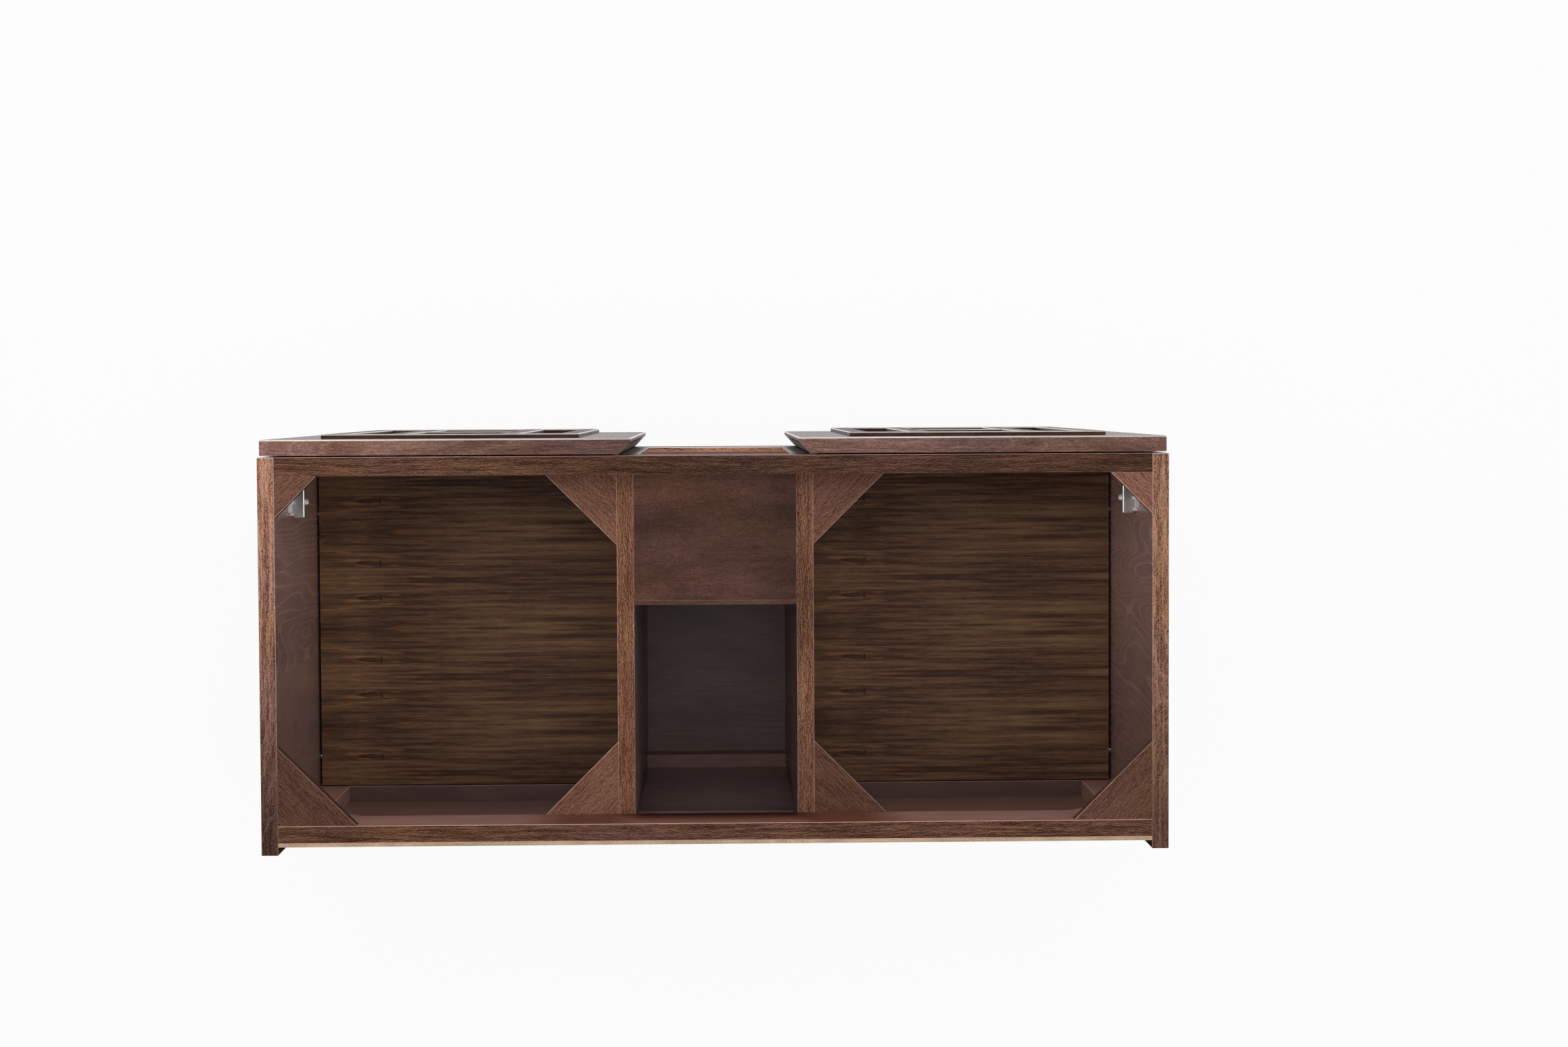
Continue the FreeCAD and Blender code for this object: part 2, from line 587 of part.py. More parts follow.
def mounting_plate(sign, level):
    """A cross-shaped plate: wings screwed to the side panel and a block that the arm straddles."""
    wing = block(("wing_thickness", "wing_width", "wing_height"),
                 (low_x(sign, f"({INNER} - wing_thickness)", "wing_thickness"),
                  f"{FRONT} + plate_start + (plate_length - wing_width) / 2", f"{level} - wing_height / 2"))
    thick = f"({INNER} - {ARM_FACE} - arm_web)"
    base = block((thick, "plate_length", "arm_height - 2 * arm_flange - 2 * plate_play"),
                 (low_x(sign, f"({ARM_FACE} + arm_web)", thick), f"{FRONT} + plate_start",
                  f"{level} - arm_height / 2 + arm_flange + plate_play"))
    holes = []
    for step in (-1, 1):
        holes.append(rod("screw_radius + screw_clearance", "wing_thickness",
                         (at_x(sign, f"({INNER} - wing_thickness)"), PLATE_MIDDLE,
                          f"{level} + {step} * wing_screw_spacing / 2"), outward(sign)))
    holes.append(rod("screw_radius + screw_clearance", thick,
                     (at_x(sign, f"({ARM_FACE} + arm_web)"), PLATE_MIDDLE, level), outward(sign)))
    return cut(fuse([wing, base]), holes)


for side, sign in SIDES:
    name_node(group([hinge_arm(sign, level) for level in HINGE_LEVELS]), f"hinge_arms_{side}")
    name_node(group([mounting_plate(sign, level) for level in HINGE_LEVELS]), f"hinge_plates_{side}")
    seats = [(at_x(sign, f"({INNER} - wing_thickness)"), spot_y, spot_z) for spot_y, spot_z in wing_spots()]
    name_node(group([screw(seat, outward(sign), "screw_head_height") for seat in seats]),
              f"hinge_plate_screws_{side}")
    seats = [(at_x(sign, ARM_FACE), PLATE_MIDDLE, level) for level in HINGE_LEVELS]
    name_node(group([screw(seat, outward(sign), "arm_screw_head_height", "arm_screw_head_radius")
                     for seat in seats]), f"hinge_arm_screws_{side}")

# Check everything, then write one file for each sub-part
doc.recompute()
for item in doc.Objects:
    if "Invalid" in item.State or "Error" in item.State:
        raise RuntimeError(f"{item.Name} ({item.Label}) failed: {item.State}")
for item in nodes:
    if item.Shape.isNull() or not item.Shape.isValid():
        raise RuntimeError(f"{item.Label} has no valid shape")
os.makedirs("parts", exist_ok=True)
for item in nodes:
    item.Shape.exportStep(f"parts/{item.Label}.step")
    box = item.Shape.BoundBox
    print(f"{item.Label}: {len(item.Shape.Solids)} solids, x {box.XMin:.1f} {box.XMax:.1f}, "
          f"y {box.YMin:.1f} {box.YMax:.1f}, z {box.ZMin:.1f} {box.ZMax:.1f}")
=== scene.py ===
import json
import math
import random

import bmesh
import bpy
from bpy.props import FloatProperty, FloatVectorProperty, IntProperty, PointerProperty
from mathutils import Matrix, Vector


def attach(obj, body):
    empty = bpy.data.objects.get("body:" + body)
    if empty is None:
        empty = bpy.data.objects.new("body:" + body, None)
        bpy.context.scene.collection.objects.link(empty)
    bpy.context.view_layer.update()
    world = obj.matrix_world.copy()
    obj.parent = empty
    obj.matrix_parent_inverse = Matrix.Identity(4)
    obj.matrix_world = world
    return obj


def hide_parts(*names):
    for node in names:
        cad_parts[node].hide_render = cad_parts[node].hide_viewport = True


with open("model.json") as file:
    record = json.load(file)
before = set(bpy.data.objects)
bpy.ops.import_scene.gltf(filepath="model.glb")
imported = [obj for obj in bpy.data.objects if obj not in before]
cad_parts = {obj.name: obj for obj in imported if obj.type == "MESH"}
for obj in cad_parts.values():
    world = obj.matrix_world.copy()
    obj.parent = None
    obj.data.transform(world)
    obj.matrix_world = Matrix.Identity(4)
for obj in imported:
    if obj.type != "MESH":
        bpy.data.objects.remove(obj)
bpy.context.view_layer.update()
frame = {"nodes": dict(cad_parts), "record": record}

bl_info = {
    "name": "Vanity Cabinet",
    "version": (1, 0, 0),
    "blender": (4, 5, 0),
    "location": "View3D > Sidebar > Vanity",
    "description": "Dresses the frame of a walnut vanity cabinet with eased boards, frets and hinges",
    "category": "Object",
}

RECORD = frame["record"]
BODY_OF = {node: body for body, nodes in RECORD["behaviour"]["bodies"].items() for node in nodes}
SIDES = ("left", "right")
AXES = {"X": Vector((1, 0, 0)), "Y": Vector((0, 1, 0)), "Z": Vector((0, 0, 1))}

# Limits that tell corners, edges and faces apart: distances, angles, the lengths above which edges are rounded, and
# parts of a face's direction
MERGE = 1e-6
NEAR = 1e-5
FLAT_ANGLE = math.radians(0.5)
CORNER_ANGLE = math.radians(20)
SHARP_ANGLE = math.radians(40)
BOARD_EDGE = 0.012
FOLD_EDGE = 0.01
METAL_EDGE = 0.003
FACING = 0.7
UPWARD = 0.5
STRAIGHT_ON = 0.95
BEVELLED = 0.3
LEANING = 0.25
SLOPING = 0.18

# A face's direction times its place across: above the first it is an outer face, below the second it is in the hollow
OUTER_FACE = 0.35
HOLLOW_FACE = -0.07

# Share of the way from a corner to the middle of its face where the tone is read, and the height of the relief
INTO_FACE = 0.001
RELIEF_HEIGHT = 0.0006

# Screw sizes, as in the solids: the radius and height of each head
SCREW_SHANK_RADIUS = 0.0018
SCREW_HEADS = {"hinge_plate_screws": (0.0034, 0.0016), "hinge_arm_screws": (0.0045, 0.004),
               "hinge_cup_screws": (0.0034, 0.0006)}

# Shares of a screw head's radius and height, the turns of its cross, and shares of a button's height and radius
HEAD_TOP = 0.74
CROSS_LENGTH = 1.05
CROSS_WIDTH = 0.26
CROSS_LIFT = 0.95
CROSS_ANGLES = (20, 110)
BUTTON_RIM = 0.7
BUTTON_TOP = 0.86

# Book-matched veneer of the bay shelves: the middle seam, the leaf width and the knot on each leaf
LEAF_SEAM_Y = 0.0087
LEAF_WIDTH = 0.0704
KNOT_IN_LEAF = 0.045
KNOT_WIDTH = 0.0036
KNOT_LENGTH = 0.018
KNOT_X = {"left": -0.2, "right": 0.5025}

# Where the painted reflection on the right wall's inner face starts, where the back panel's front is, and half of its
# part that closes the hollow
PAINTED_REFLECTION_Y = 0.042
PANEL_FACE_Y = 0.261
HOLLOW_HALF = 0.133

# The grains of a fret's strips, and the shift that keeps its rails' figure apart from its bars'
FRET_GRAINS = ("X", "Z")
FRET_GRAIN_SHIFT = 5.0

# Factors on the colour from place to place: stops of a place along an axis and a factor on the colour. Many of them are
# painted light and shade, as said beside them.
# Painted light and shade on the side panels: their upper edges paler towards the front, their inner faces darker near
# the top and towards the rear
SIDE_TOP_PAINTED_LIGHT = {"left": ((-0.2, 1.1), (0.0, 0.97), (0.21, 0.47)),
              "right": ((-0.2, 1.4), (0.0, 1.1), (0.21, 0.34))}
WALL_PAINTED_LIGHT_Z = ((0.52, 1.05), (0.62, 1.05), (0.72, 0.98), (0.84, 0.85))
WALL_PAINTED_LIGHT_Y = {"left": ((-0.16, 1.4), (-0.06, 1.22), (0.02, 0.95), (0.15, 0.65)),
                "right": ((-0.16, 1.35), (-0.06, 1.08), (0.024, 0.85), (PAINTED_REFLECTION_Y, 1.0), (0.15, 0.76))}
PARTITION_TONES = {"left": ((-0.17, 1.1), (-0.06, 0.7), (0.06, 1.05), (0.17, 0.78)),
                   "right": ((-0.17, 1.15), (-0.06, 1.2), (0.06, 1.15), (0.17, 0.9))}
# Painted light and shade on the left partition's face in the hollow: paler low down, darker near the top
HOLLOW_PAINTED_LIGHT = ((0.5, 1.15), (0.7, 0.5))
HOLLOW_RIGHT_TONE = 1.2
# Painted light and shade on the hollow's back board, paler low down and darker higher up, and painted shade on the
# hollow's posts
HOLLOW_BACK_PAINTED_LIGHT = ((0.42, 1.95), (0.52, 1.4), (0.6, 0.75))
HOLLOW_POST_PAINTED_SHADE = 0.6
FRONT_RAIL_TONES = ((-0.52, 0.75), (-0.35, 0.92), (-0.22, 0.95), (-0.1, 0.77), (0.05, 0.77), (0.2, 0.92), (0.36, 1.3))
NICHE_TONES_Y = ((-0.2, 1.35), (-0.16, 0.8), (-0.1, 0.9), (-0.06, 1.0))
NICHE_TONES_X = ((-0.09, 0.68), (-0.03, 1.0), (0.09, 1.05))
# Painted light on the niche shelves' front lip and on the apron's upper edge
NICHE_LIP_PAINTED_LIGHT = ((-0.236, 4.0), (-0.222, 1.0))
APRON_TOP_PAINTED_LIGHT = 2.2
# Painted shade on the bay shelves' upper faces, darker at the front and the rear
SHELF_PAINTED_SHADE = ((-0.21, 0.84), (-0.1, 1.0), (0.06, 1.0), (0.16, 0.8))
BACK_RAIL_MIDDLE = 0.1
# Painted shade on the back rail's face, darker low down and towards the middle behind the hollow
BACK_RAIL_PAINTED_SHADE_Z = ((0.79, 0.09), (0.85, 0.75))
BACK_RAIL_PAINTED_SHADE_X = ((0.14, 0.38), (0.2, 0.42), (0.26, 1.0))
BACK_RAIL_TOP_TONE = 1.25
FOOT_RAIL_TONE = 0.6
MID_RAIL_TOP_TONE = 0.17
# Painted shade on the back panel's front in the bays, darker lower down
PANEL_PAINTED_SHADE = ((0.53, 0.5), (0.62, 0.6), (0.65, 1.0))
PANEL_MIDDLE_TONE = 1.5
# Painted light and shade along the doors' upper edges
DOOR_PAINTED_LIGHT = {"left": ((-0.54, 1.05), (-0.35, 0.9), (-0.18, 1.25)),
              "right": ((0.18, 0.8), (0.35, 1.0), (0.54, 1.9))}
GUSSET_TONES = {"front_outer_left": 1.53, "front_outer_right": 1.13, "front_inner_left": 1.17,
                "front_inner_right": 1.42, "back_inner_left": 0.76, "back_inner_right": 1.27,
                "back_outer_left": 0.88, "back_outer_right": 0.68}

# How much paler rounded edges are than the faces beside them, for wear and a painted highlight
EDGE_WEAR_AND_HIGHLIGHT = 1.6
PANEL_WEAR_AND_HIGHLIGHT = 1.5
BACK_RAIL_WEAR_AND_HIGHLIGHT = 1.8
NO_WEAR = 1.0

# The view: where the lens is, how it is turned about Z, Y and X from straight down, how far it sees, and the width
# of its sensor in millimetres
VIEW_PLACE = (-0.00529, -0.31599, 4.55395)
VIEW_TURNS = (-0.0059, -0.0232, 0.0429)
VIEW_REACH = 50.0
SENSOR_WIDTH = 36.0

# The soft lights: their size, what they face, where each one is, and how much stronger the front one is
LAMP_SIZE = 2.0
LAMP_AIM = Vector((0.0, 0.0, 0.7))
LAMP_PLACES = {"overhead": (0.0, -0.3, 3.9), "left": (-2.6, -0.6, 3.6), "right": (2.6, -0.6, 3.6),
               "front": (0.0, -3.0, 3.6)}
FRONT_LAMP = 1.6


# Settings

def shade(name, description, default):
    return FloatVectorProperty(name=name, description=description, subtype="COLOR", size=3, min=0.0, max=1.0,
                               default=default)


def amount(name, description, default, **options):
    return FloatProperty(name=name, description=description, default=default, **{"min": 0.0, **options})


def length(name, description, default):
    return amount(name, description, default, subtype="DISTANCE", unit="LENGTH", precision=4)


def steps(name, description, default):
    return IntProperty(name=name, description=description, min=1, max=6, default=default)


class VanityStain(bpy.types.PropertyGroup):
    rail: shade("Rails", "Mean colour of the top rails' upper edges", (0.075, 0.0328, 0.0188))
    edge: shade("Panel edges", "Mean colour of the side panels' upper edges", (0.22, 0.105, 0.068))
    partition: shade("Partition edges", "Mean colour of the partitions' upper edges", (0.14, 0.0572, 0.0312))
    gusset: shade("Gussets", "Mean colour of the corner gussets", (0.122, 0.054, 0.0345))
    # inner, back and hollow are far paler than the rails' and gussets' colours: painted light on faces the lamps reach
    # little, and on inner a painted plum-grey sheen
    inner: shade("Inner faces", "Mean colour of the inner faces of the bays", (0.365, 0.225, 0.2))
    back: shade("Back faces", "Mean colour of the back frame's faces", (0.42, 0.23, 0.19))
    hollow: shade("Hollow", "Mean colour of the boards round the hollow", (0.166, 0.106, 0.106))
    niche: shade("Niche", "Mean colour of the niche boards", (0.082, 0.038, 0.026))
    door_edge: shade("Door edges", "Mean colour of the doors' edges", (0.13, 0.065, 0.047))
    door: shade("Door faces", "Mean colour of the doors' faces and frets", (0.08, 0.037, 0.027))
    shelf_dark: shade("Shelf ground", "Dark ground of the shelf veneer", (0.056, 0.026, 0.0165))
    shelf_light: shade("Shelf streak", "Olive-brown streaks of the shelf veneer", (0.195, 0.107, 0.052))
    shelf_flame: shade("Shelf flame", "Orange streaks of the shelf veneer", (0.34, 0.13, 0.045))
    plywood: shade("Plywood", "Raw back panel", (0.56, 0.4, 0.25))
    # The pale door arris colour is a painted highlight; its gloss adds a real one
    arris: shade("Door arrises", "Bright line along the doors' rounded edges", (0.54, 0.475, 0.445))
    nickel: shade("Nickel", "Plating of hinges and pins", (0.86, 0.85, 0.83))
    glide: shade("Glides", "Plastic of the floor glides", (0.03, 0.03, 0.032))
    bumper: shade("Bumpers", "Rubber of the door bumpers", (0.4, 0.4, 0.38))


class VanityEasing(bpy.types.PropertyGroup):
    board: length("Board arris", "Rounding of the case boards' edges", 0.0009)
    rail: length("Rail arris", "Rounding of the front rails' and the niche back's edges", 0.0006)
    sheet: length("Sheet arris", "Rounding of the thin boards' edges", 0.0004)
    gusset: length("Gusset arris", "Rounding of the gussets' edges", 0.0007)
    door: length("Door arris", "Rounding of the doors' edges", 0.0018)
    fret: length("Fret arris", "Rounding of the fret's edges", 0.0014)
    metal: length("Metal arris", "Rounding of the hinge pieces' edges", 0.001)
    fold: length("Arm folds", "Rounding of the hinge arms' folded corners", 0.0028)
    segments: steps("Segments", "Steps in each rounded edge of wood", 3)
    metal_segments: steps("Metal segments", "Steps in each rounded edge of metal", 2)
    fold_segments: steps("Fold segments", "Steps in each folded corner", 4)


class VanityStage(bpy.types.PropertyGroup):
    floor: shade("Floor", "Colour of the pale floor", (0.92, 0.92, 0.92))
    floor_half: length("Floor half width", "Distance from the middle to the floor's edges", 20.0)
    glow: amount("Floor glow", "Share of plain white in the floor as the view sees it", 0.93, subtype="FACTOR", max=1.0)
    key_power: amount("Overhead light", "Power of the soft light above the cabinet", 45.0, subtype="POWER")
    side_power: amount("Side lights", "Power of each soft light at the sides; the front one is stronger", 22.0,
                       subtype="POWER")
    fill: amount("Fill", "Level of the even light from all round", 0.25)
    ceiling: amount("Ceiling", "Level of the dark ceiling in reflections", 0.12)
    lens: amount("Lens", "Focal length of the view", 64.39, subtype="DISTANCE_CAMERA", min=1.0)


class VanitySettings(bpy.types.PropertyGroup):
    stain: PointerProperty(type=VanityStain)
    easing: PointerProperty(type=VanityEasing)
    stage: PointerProperty(type=VanityStage)


# Node helpers

class Wire:
    """The output of a node; sums, products and powers of wires add the nodes that work them out."""

    def __init__(self, socket):
        self.socket = socket
        self.tree = socket.id_data

    def calc(self, operation, other=0.0):
        kind = "ShaderNodeMath" if self.socket.type == "VALUE" else "ShaderNodeVectorMath"
        return wire(self.tree, kind, {0: self, 1: other}, operation=operation)

    def __add__(self, other):
        return self.calc("ADD", other)

    def __sub__(self, other):
        return self.calc("SUBTRACT", other)

    def __mul__(self, other):
        return self.calc("MULTIPLY", other)

    def __pow__(self, other):
        return self.calc("POWER", other)

    def __abs__(self):
        return self.calc("ABSOLUTE")


def put(tree, kind, inputs=None, **settings):
    """Add a node; an input is a number, a colour, or the wire or socket that feeds it."""
    node = tree.nodes.new(kind)
    for name, value in settings.items():
        setattr(node, name, value)
    for name, value in (inputs or {}).items():
        if isinstance(value, Wire):
            value = value.socket
        if isinstance(value, bpy.types.NodeSocket):
            tree.links.new(value, node.inputs[name])
        else:
            node.inputs[name].default_value = value
    return node


def wire(tree, kind, inputs=None, output=0, **settings):
    return Wire(put(tree, kind, inputs, **settings).outputs[output])


def split(vector):
    return [Wire(part) for part in put(vector.tree, "ShaderNodeSeparateXYZ", {0: vector}).outputs]


def noise(vector, scale, detail=2.0, roughness=0.5, output="Fac"):
    return wire(vector.tree, "ShaderNodeTexNoise",
                {"Vector": vector, "Scale": scale, "Detail": detail, "Roughness": roughness}, output)


def ramp(factor, stops):
    node = put(factor.tree, "ShaderNodeValToRGB", {"Fac": factor})
    band = node.color_ramp
    while len(band.elements) < len(stops):
        band.elements.new(0.5)
    for element, (place, colour) in zip(band.elements, stops):
        element.position = place
        element.color = (*(min(1.0, part) for part in colour), 1.0)
    return Wire(node.outputs["Color"])


def blend(factor, *colours):
    """A mix of two colours, each a wire or three numbers."""
    first, second = (colour if isinstance(colour, Wire) else (*colour, 1.0) for colour in colours)
    return wire(factor.tree, "ShaderNodeMix", {0: factor, 6: first, 7: second}, 2, data_type="RGBA")


def remap(value, low, high, new_low=0.0, new_high=1.0):
    return wire(value.tree, "ShaderNodeMapRange", {"Value": value, "From Min": low, "From Max": high,
                                                   "To Min": new_low, "To Max": new_high},
                interpolation_type="SMOOTHSTEP")


def layered(value, layers):
    """The value with layers added, each a texture about its middle times a weight."""
    for layer, weight in layers:
        value += (layer - 0.5) * weight
    return value


def zigzag(value, count):
    return (value * count).calc("PINGPONG", 0.5)


def empty_tree(holder):
    """The node tree of a material or world, emptied."""
    holder.use_nodes = True
    holder.node_tree.nodes.clear()
    return holder.node_tree


def blank_material(name):
    material = bpy.data.materials.new(name)
    tree = empty_tree(material)
    shader = put(tree, "ShaderNodeBsdfPrincipled")
    put(tree, "ShaderNodeOutputMaterial", {"Surface": shader.outputs[0]})
    return material, tree, shader


def times(colour, factor):
    return tuple(min(1.0, part * factor) for part in colour)


# Finishes

def grain_of(tree):
    """Grain coordinates of the board, with the fibres along X."""
    return wire(tree, "ShaderNodeAttribute", output="Vector", attribute_name="grain")


def place_of(tree):
    return wire(tree, "ShaderNodeTexCoord", output="Object")


def swayed(vector, grain, pace, reach):
    """The vector moved to and fro across the fibres, as often as the pace along the grain says."""
    sway = noise(grain * pace, 1.0, output="Color") - (0.5, 0.5, 0.5)
    return vector + sway * (0.0, reach, reach)


def fibres(vector, along, scale, detail, roughness):
    """Noise drawn out along the fibres."""
    return noise(vector * (along, 1.0, 1.0), scale, detail, roughness)


def toned(colour, redden=0.0):
    """The colour times the board's tone, much of it painted light and shade; redden makes a dark tone redder."""
    tone = wire(colour.tree, "ShaderNodeAttribute", output="Fac", attribute_name="tone")
    return colour * wire(colour.tree, "ShaderNodeCombineXYZ",
                         {0: tone, 1: tone ** (1.0 + redden), 2: tone ** (1.0 + 1.8 * redden)})


def coat(shader, colour, height, relief, gloss, level):
    """Set the colour, a fine relief, the gloss and the level of reflection."""
    bump = wire(colour.tree, "ShaderNodeBump", {"Strength": relief, "Distance": RELIEF_HEIGHT, "Height": height})
    for name, value in (("Base Color", colour), ("Normal", bump), ("Roughness", gloss)):
        colour.tree.links.new(value.socket, shader.inputs[name])
    shader.inputs["Specular IOR Level"].default_value = level


def walnut(name, colour, pale=(1.9, 2.2, 2.4), deep=(0.46, 0.38, 0.32), mottle=0.4, streak=0.7, stroke=1.1,
           speck=1.2, grit=0.0, figure=0.2, lines=0.0, ripple=0.4, hue=1.0, redden=0.0, painted_relief_shading=0.0, relief=0.16,
           roughness=0.45, level=0.12):
    """Stained walnut, from deep to pale about the colour.

    It has clouds, streaks, growth rings, short strokes, specks and grit, painted relief shading on the pores where
    embossed, and a toner over it that runs from golden to plum.
    """
    material, tree, shader = blank_material(name)
    grain = grain_of(tree)
    bent = swayed(grain, grain, (1.6, 6.0, 6.0), 0.03)
    rippled = swayed(bent, grain, (110.0, 60.0, 60.0), 0.006 * ripple)
    clouds = fibres(bent, 0.45, 20.0, 2.0, 0.5)
    streaks = fibres(bent, 0.04, 280.0, 3.0, 0.6)
    strokes = fibres(rippled, 0.09, 760.0, 2.0, 0.7)
    specks = fibres(rippled, 0.3, 1250.0, 1.0, 0.6)
    grains = noise(grain, 1500.0, 1.0, 0.6)
    contour = fibres(bent, 0.16, 9.0, 1.0, 0.4)
    rings = zigzag(contour, 18.0)
    value = layered((rings - 0.25) * figure + 0.5, ((clouds, mottle), (streaks, streak), (strokes, stroke),
                                                    (specks, speck), (grains, grit)))
    if lines:
        value += remap(zigzag(contour, 34.0), 0.38, 0.48) * lines
    # Painted relief shading: the pore noise less the same noise shifted across the fibres paints a pale and a dark side
    # on each pore
    if painted_relief_shading:
        pores = rippled * (0.25, 1.0, 1.0)
        beside = pores + (0.0, 0.0007, 0.0)
        value += (noise(pores, 560.0, 1.0) - noise(beside, 560.0, 1.0)) * painted_relief_shading
    low, high = ([part * factor for part, factor in zip(colour, factors)] for factors in (deep, pale))
    stained = ramp(value, ((0.1, low), (0.5, colour), (0.9, high)))
    toner = remap(fibres(grain, 0.6, 11.0, 2.0, 0.5), 0.36, 0.64)
    cast = blend(toner, (1.0 + 0.06 * hue, 1.0 + 0.02 * hue, 1.0 - 0.24 * hue),
                 (1.0 - 0.04 * hue, 1.0 - 0.1 * hue, 1.0 + 0.08 * hue))
    gloss = streaks * 0.16 + (roughness - 0.08)
    coat(shader, toned(stained * cast, redden), strokes * 0.5 + specks, relief, gloss, level)
    return material


def knot_mask(along, leaf, ragging):
    """Where a leaf has its knot: a ragged eye, drawn out along the fibres, and a tick beside it."""
    across = (leaf - KNOT_IN_LEAF) * (1.0 / KNOT_WIDTH)
    from_middle = abs(along * (1.0 / KNOT_LENGTH))
    narrowed = abs(across * (from_middle * 0.9 + 0.85))
    reach = (narrowed ** 2.0 + from_middle ** 4.0).calc("SQRT")
    eye = remap(reach + (ragging - 0.5), 1.1, 0.7) * remap(reach, 0.1, 0.6, 0.3, 0.7)
    tick = remap(abs(along + 0.0165), 0.0022, 0.0008) * remap(abs(across), 1.5, 0.8)
    return eye.calc("MAXIMUM", tick * 0.8)


def shelf_veneer(name, stain):
    """Book-matched veneer: mirrored leaves with long streaks, orange at one end, and a small knot on each leaf."""
    material, tree, shader = blank_material(name)
    grain = grain_of(tree)
    along, across, through = split(grain)
    leaf = across.calc("PINGPONG", LEAF_WIDTH)
    drifted = leaf + (noise(grain * (6.0, 25.0, 1.0), 1.0) - 0.5) * 0.006
    mirrored = wire(tree, "ShaderNodeCombineXYZ", {0: along, 1: drifted})
    broad = fibres(mirrored, 0.2, 25.0, 1.0, 0.5)
    middling = fibres(mirrored, 0.035, 115.0, 1.0, 0.5)
    long = fibres(mirrored, 0.03, 290.0, 2.0, 0.5)
    fine = fibres(mirrored, 0.05, 700.0, 2.0, 0.6)
    hair = fibres(grain, 0.1, 1200.0, 2.0, 0.6)
    value = layered(broad * 0.6 + 0.2, ((middling, 0.75), (long, 0.6), (fine, 0.4), (hair, 0.35)))
    middle = [0.55 * low + 0.45 * high for low, high in zip(stain.shelf_dark, stain.shelf_light)]
    ground = ramp(value, ((0.12, times(stain.shelf_dark, 0.75)), (0.36, stain.shelf_dark[:]), (0.56, middle),
                          (0.8, stain.shelf_light[:])))
    licks = fibres(mirrored, 0.09, 190.0, 2.0, 0.55)
    flame = remap(licks, 0.53, 0.72) * remap(along, -0.16, 0.07, 0.1, 0.75)
    warm = blend(flame, ground, stain.shelf_flame[:])
    veneer = blend(knot_mask(along, leaf, fine), warm, times(stain.shelf_dark, 0.4))
    coat(shader, toned(veneer), hair, 0.08, fine * 0.12 + 0.42, 0.15)
    return material


def plywood_edge(name, colour):
    """Raw plywood: plies along the sheet, seen at its edges, and a pale birch face."""
    material, tree, shader = blank_material(name)
    place = place_of(tree)
    plies = zigzag(split(place)[1], 420.0)
    rings = zigzag(noise(place * (3.0, 3.0, 0.7), 1.0), 16.0)
    threads = noise(place * (420.0, 420.0, 9.0), 1.0, 3.0, 0.6)
    specks = noise(place * (160.0, 900.0, 160.0), 1.0, 3.0, 0.7)
    value = layered(plies * 0.5 + rings * 0.45, ((threads, 0.7), (specks, 0.25)))
    tint = ramp(value, ((0.0, times(colour, 0.55)), (0.3, times(colour, 0.9)), (0.7, times(colour, 1.2))))
    coat(shader, tint, specks, 0.15, specks * 0.1 + 0.6, 0.3)
    return material


def nickel_plate(name, colour, metallic):
    """Nickel with faint drawing lines and smears, bright or satin."""
    material, tree, shader = blank_material(name)
    place = place_of(tree)
    lines = noise(place * (900.0, 40.0, 900.0), 1.0, 3.0, 0.6)
    smears = noise(place, 60.0, 3.0, 0.6)
    tint = ramp(smears, ((0.3, times(colour, 0.82)), (0.7, times(colour, 1.08))))
    shader.inputs["Metallic"].default_value = metallic
    coat(shader, tint, lines, 0.05, lines * 0.12 + 0.12 + smears * 0.08, 0.5)
    return material


def moulded(name, colour, roughness):
    """Moulded plastic or rubber with a fine matte grain."""
    material, tree, shader = blank_material(name)
    place = place_of(tree)
    grit = noise(place, 1800.0, 2.0, 0.6)
    cloud = noise(place, 90.0, 3.0, 0.5)
    tint = ramp(cloud, ((0.3, times(colour, 0.85)), (0.7, times(colour, 1.15))))
    coat(shader, tint, grit, 0.2, grit * 0.15 + roughness, 0.4)
    return material


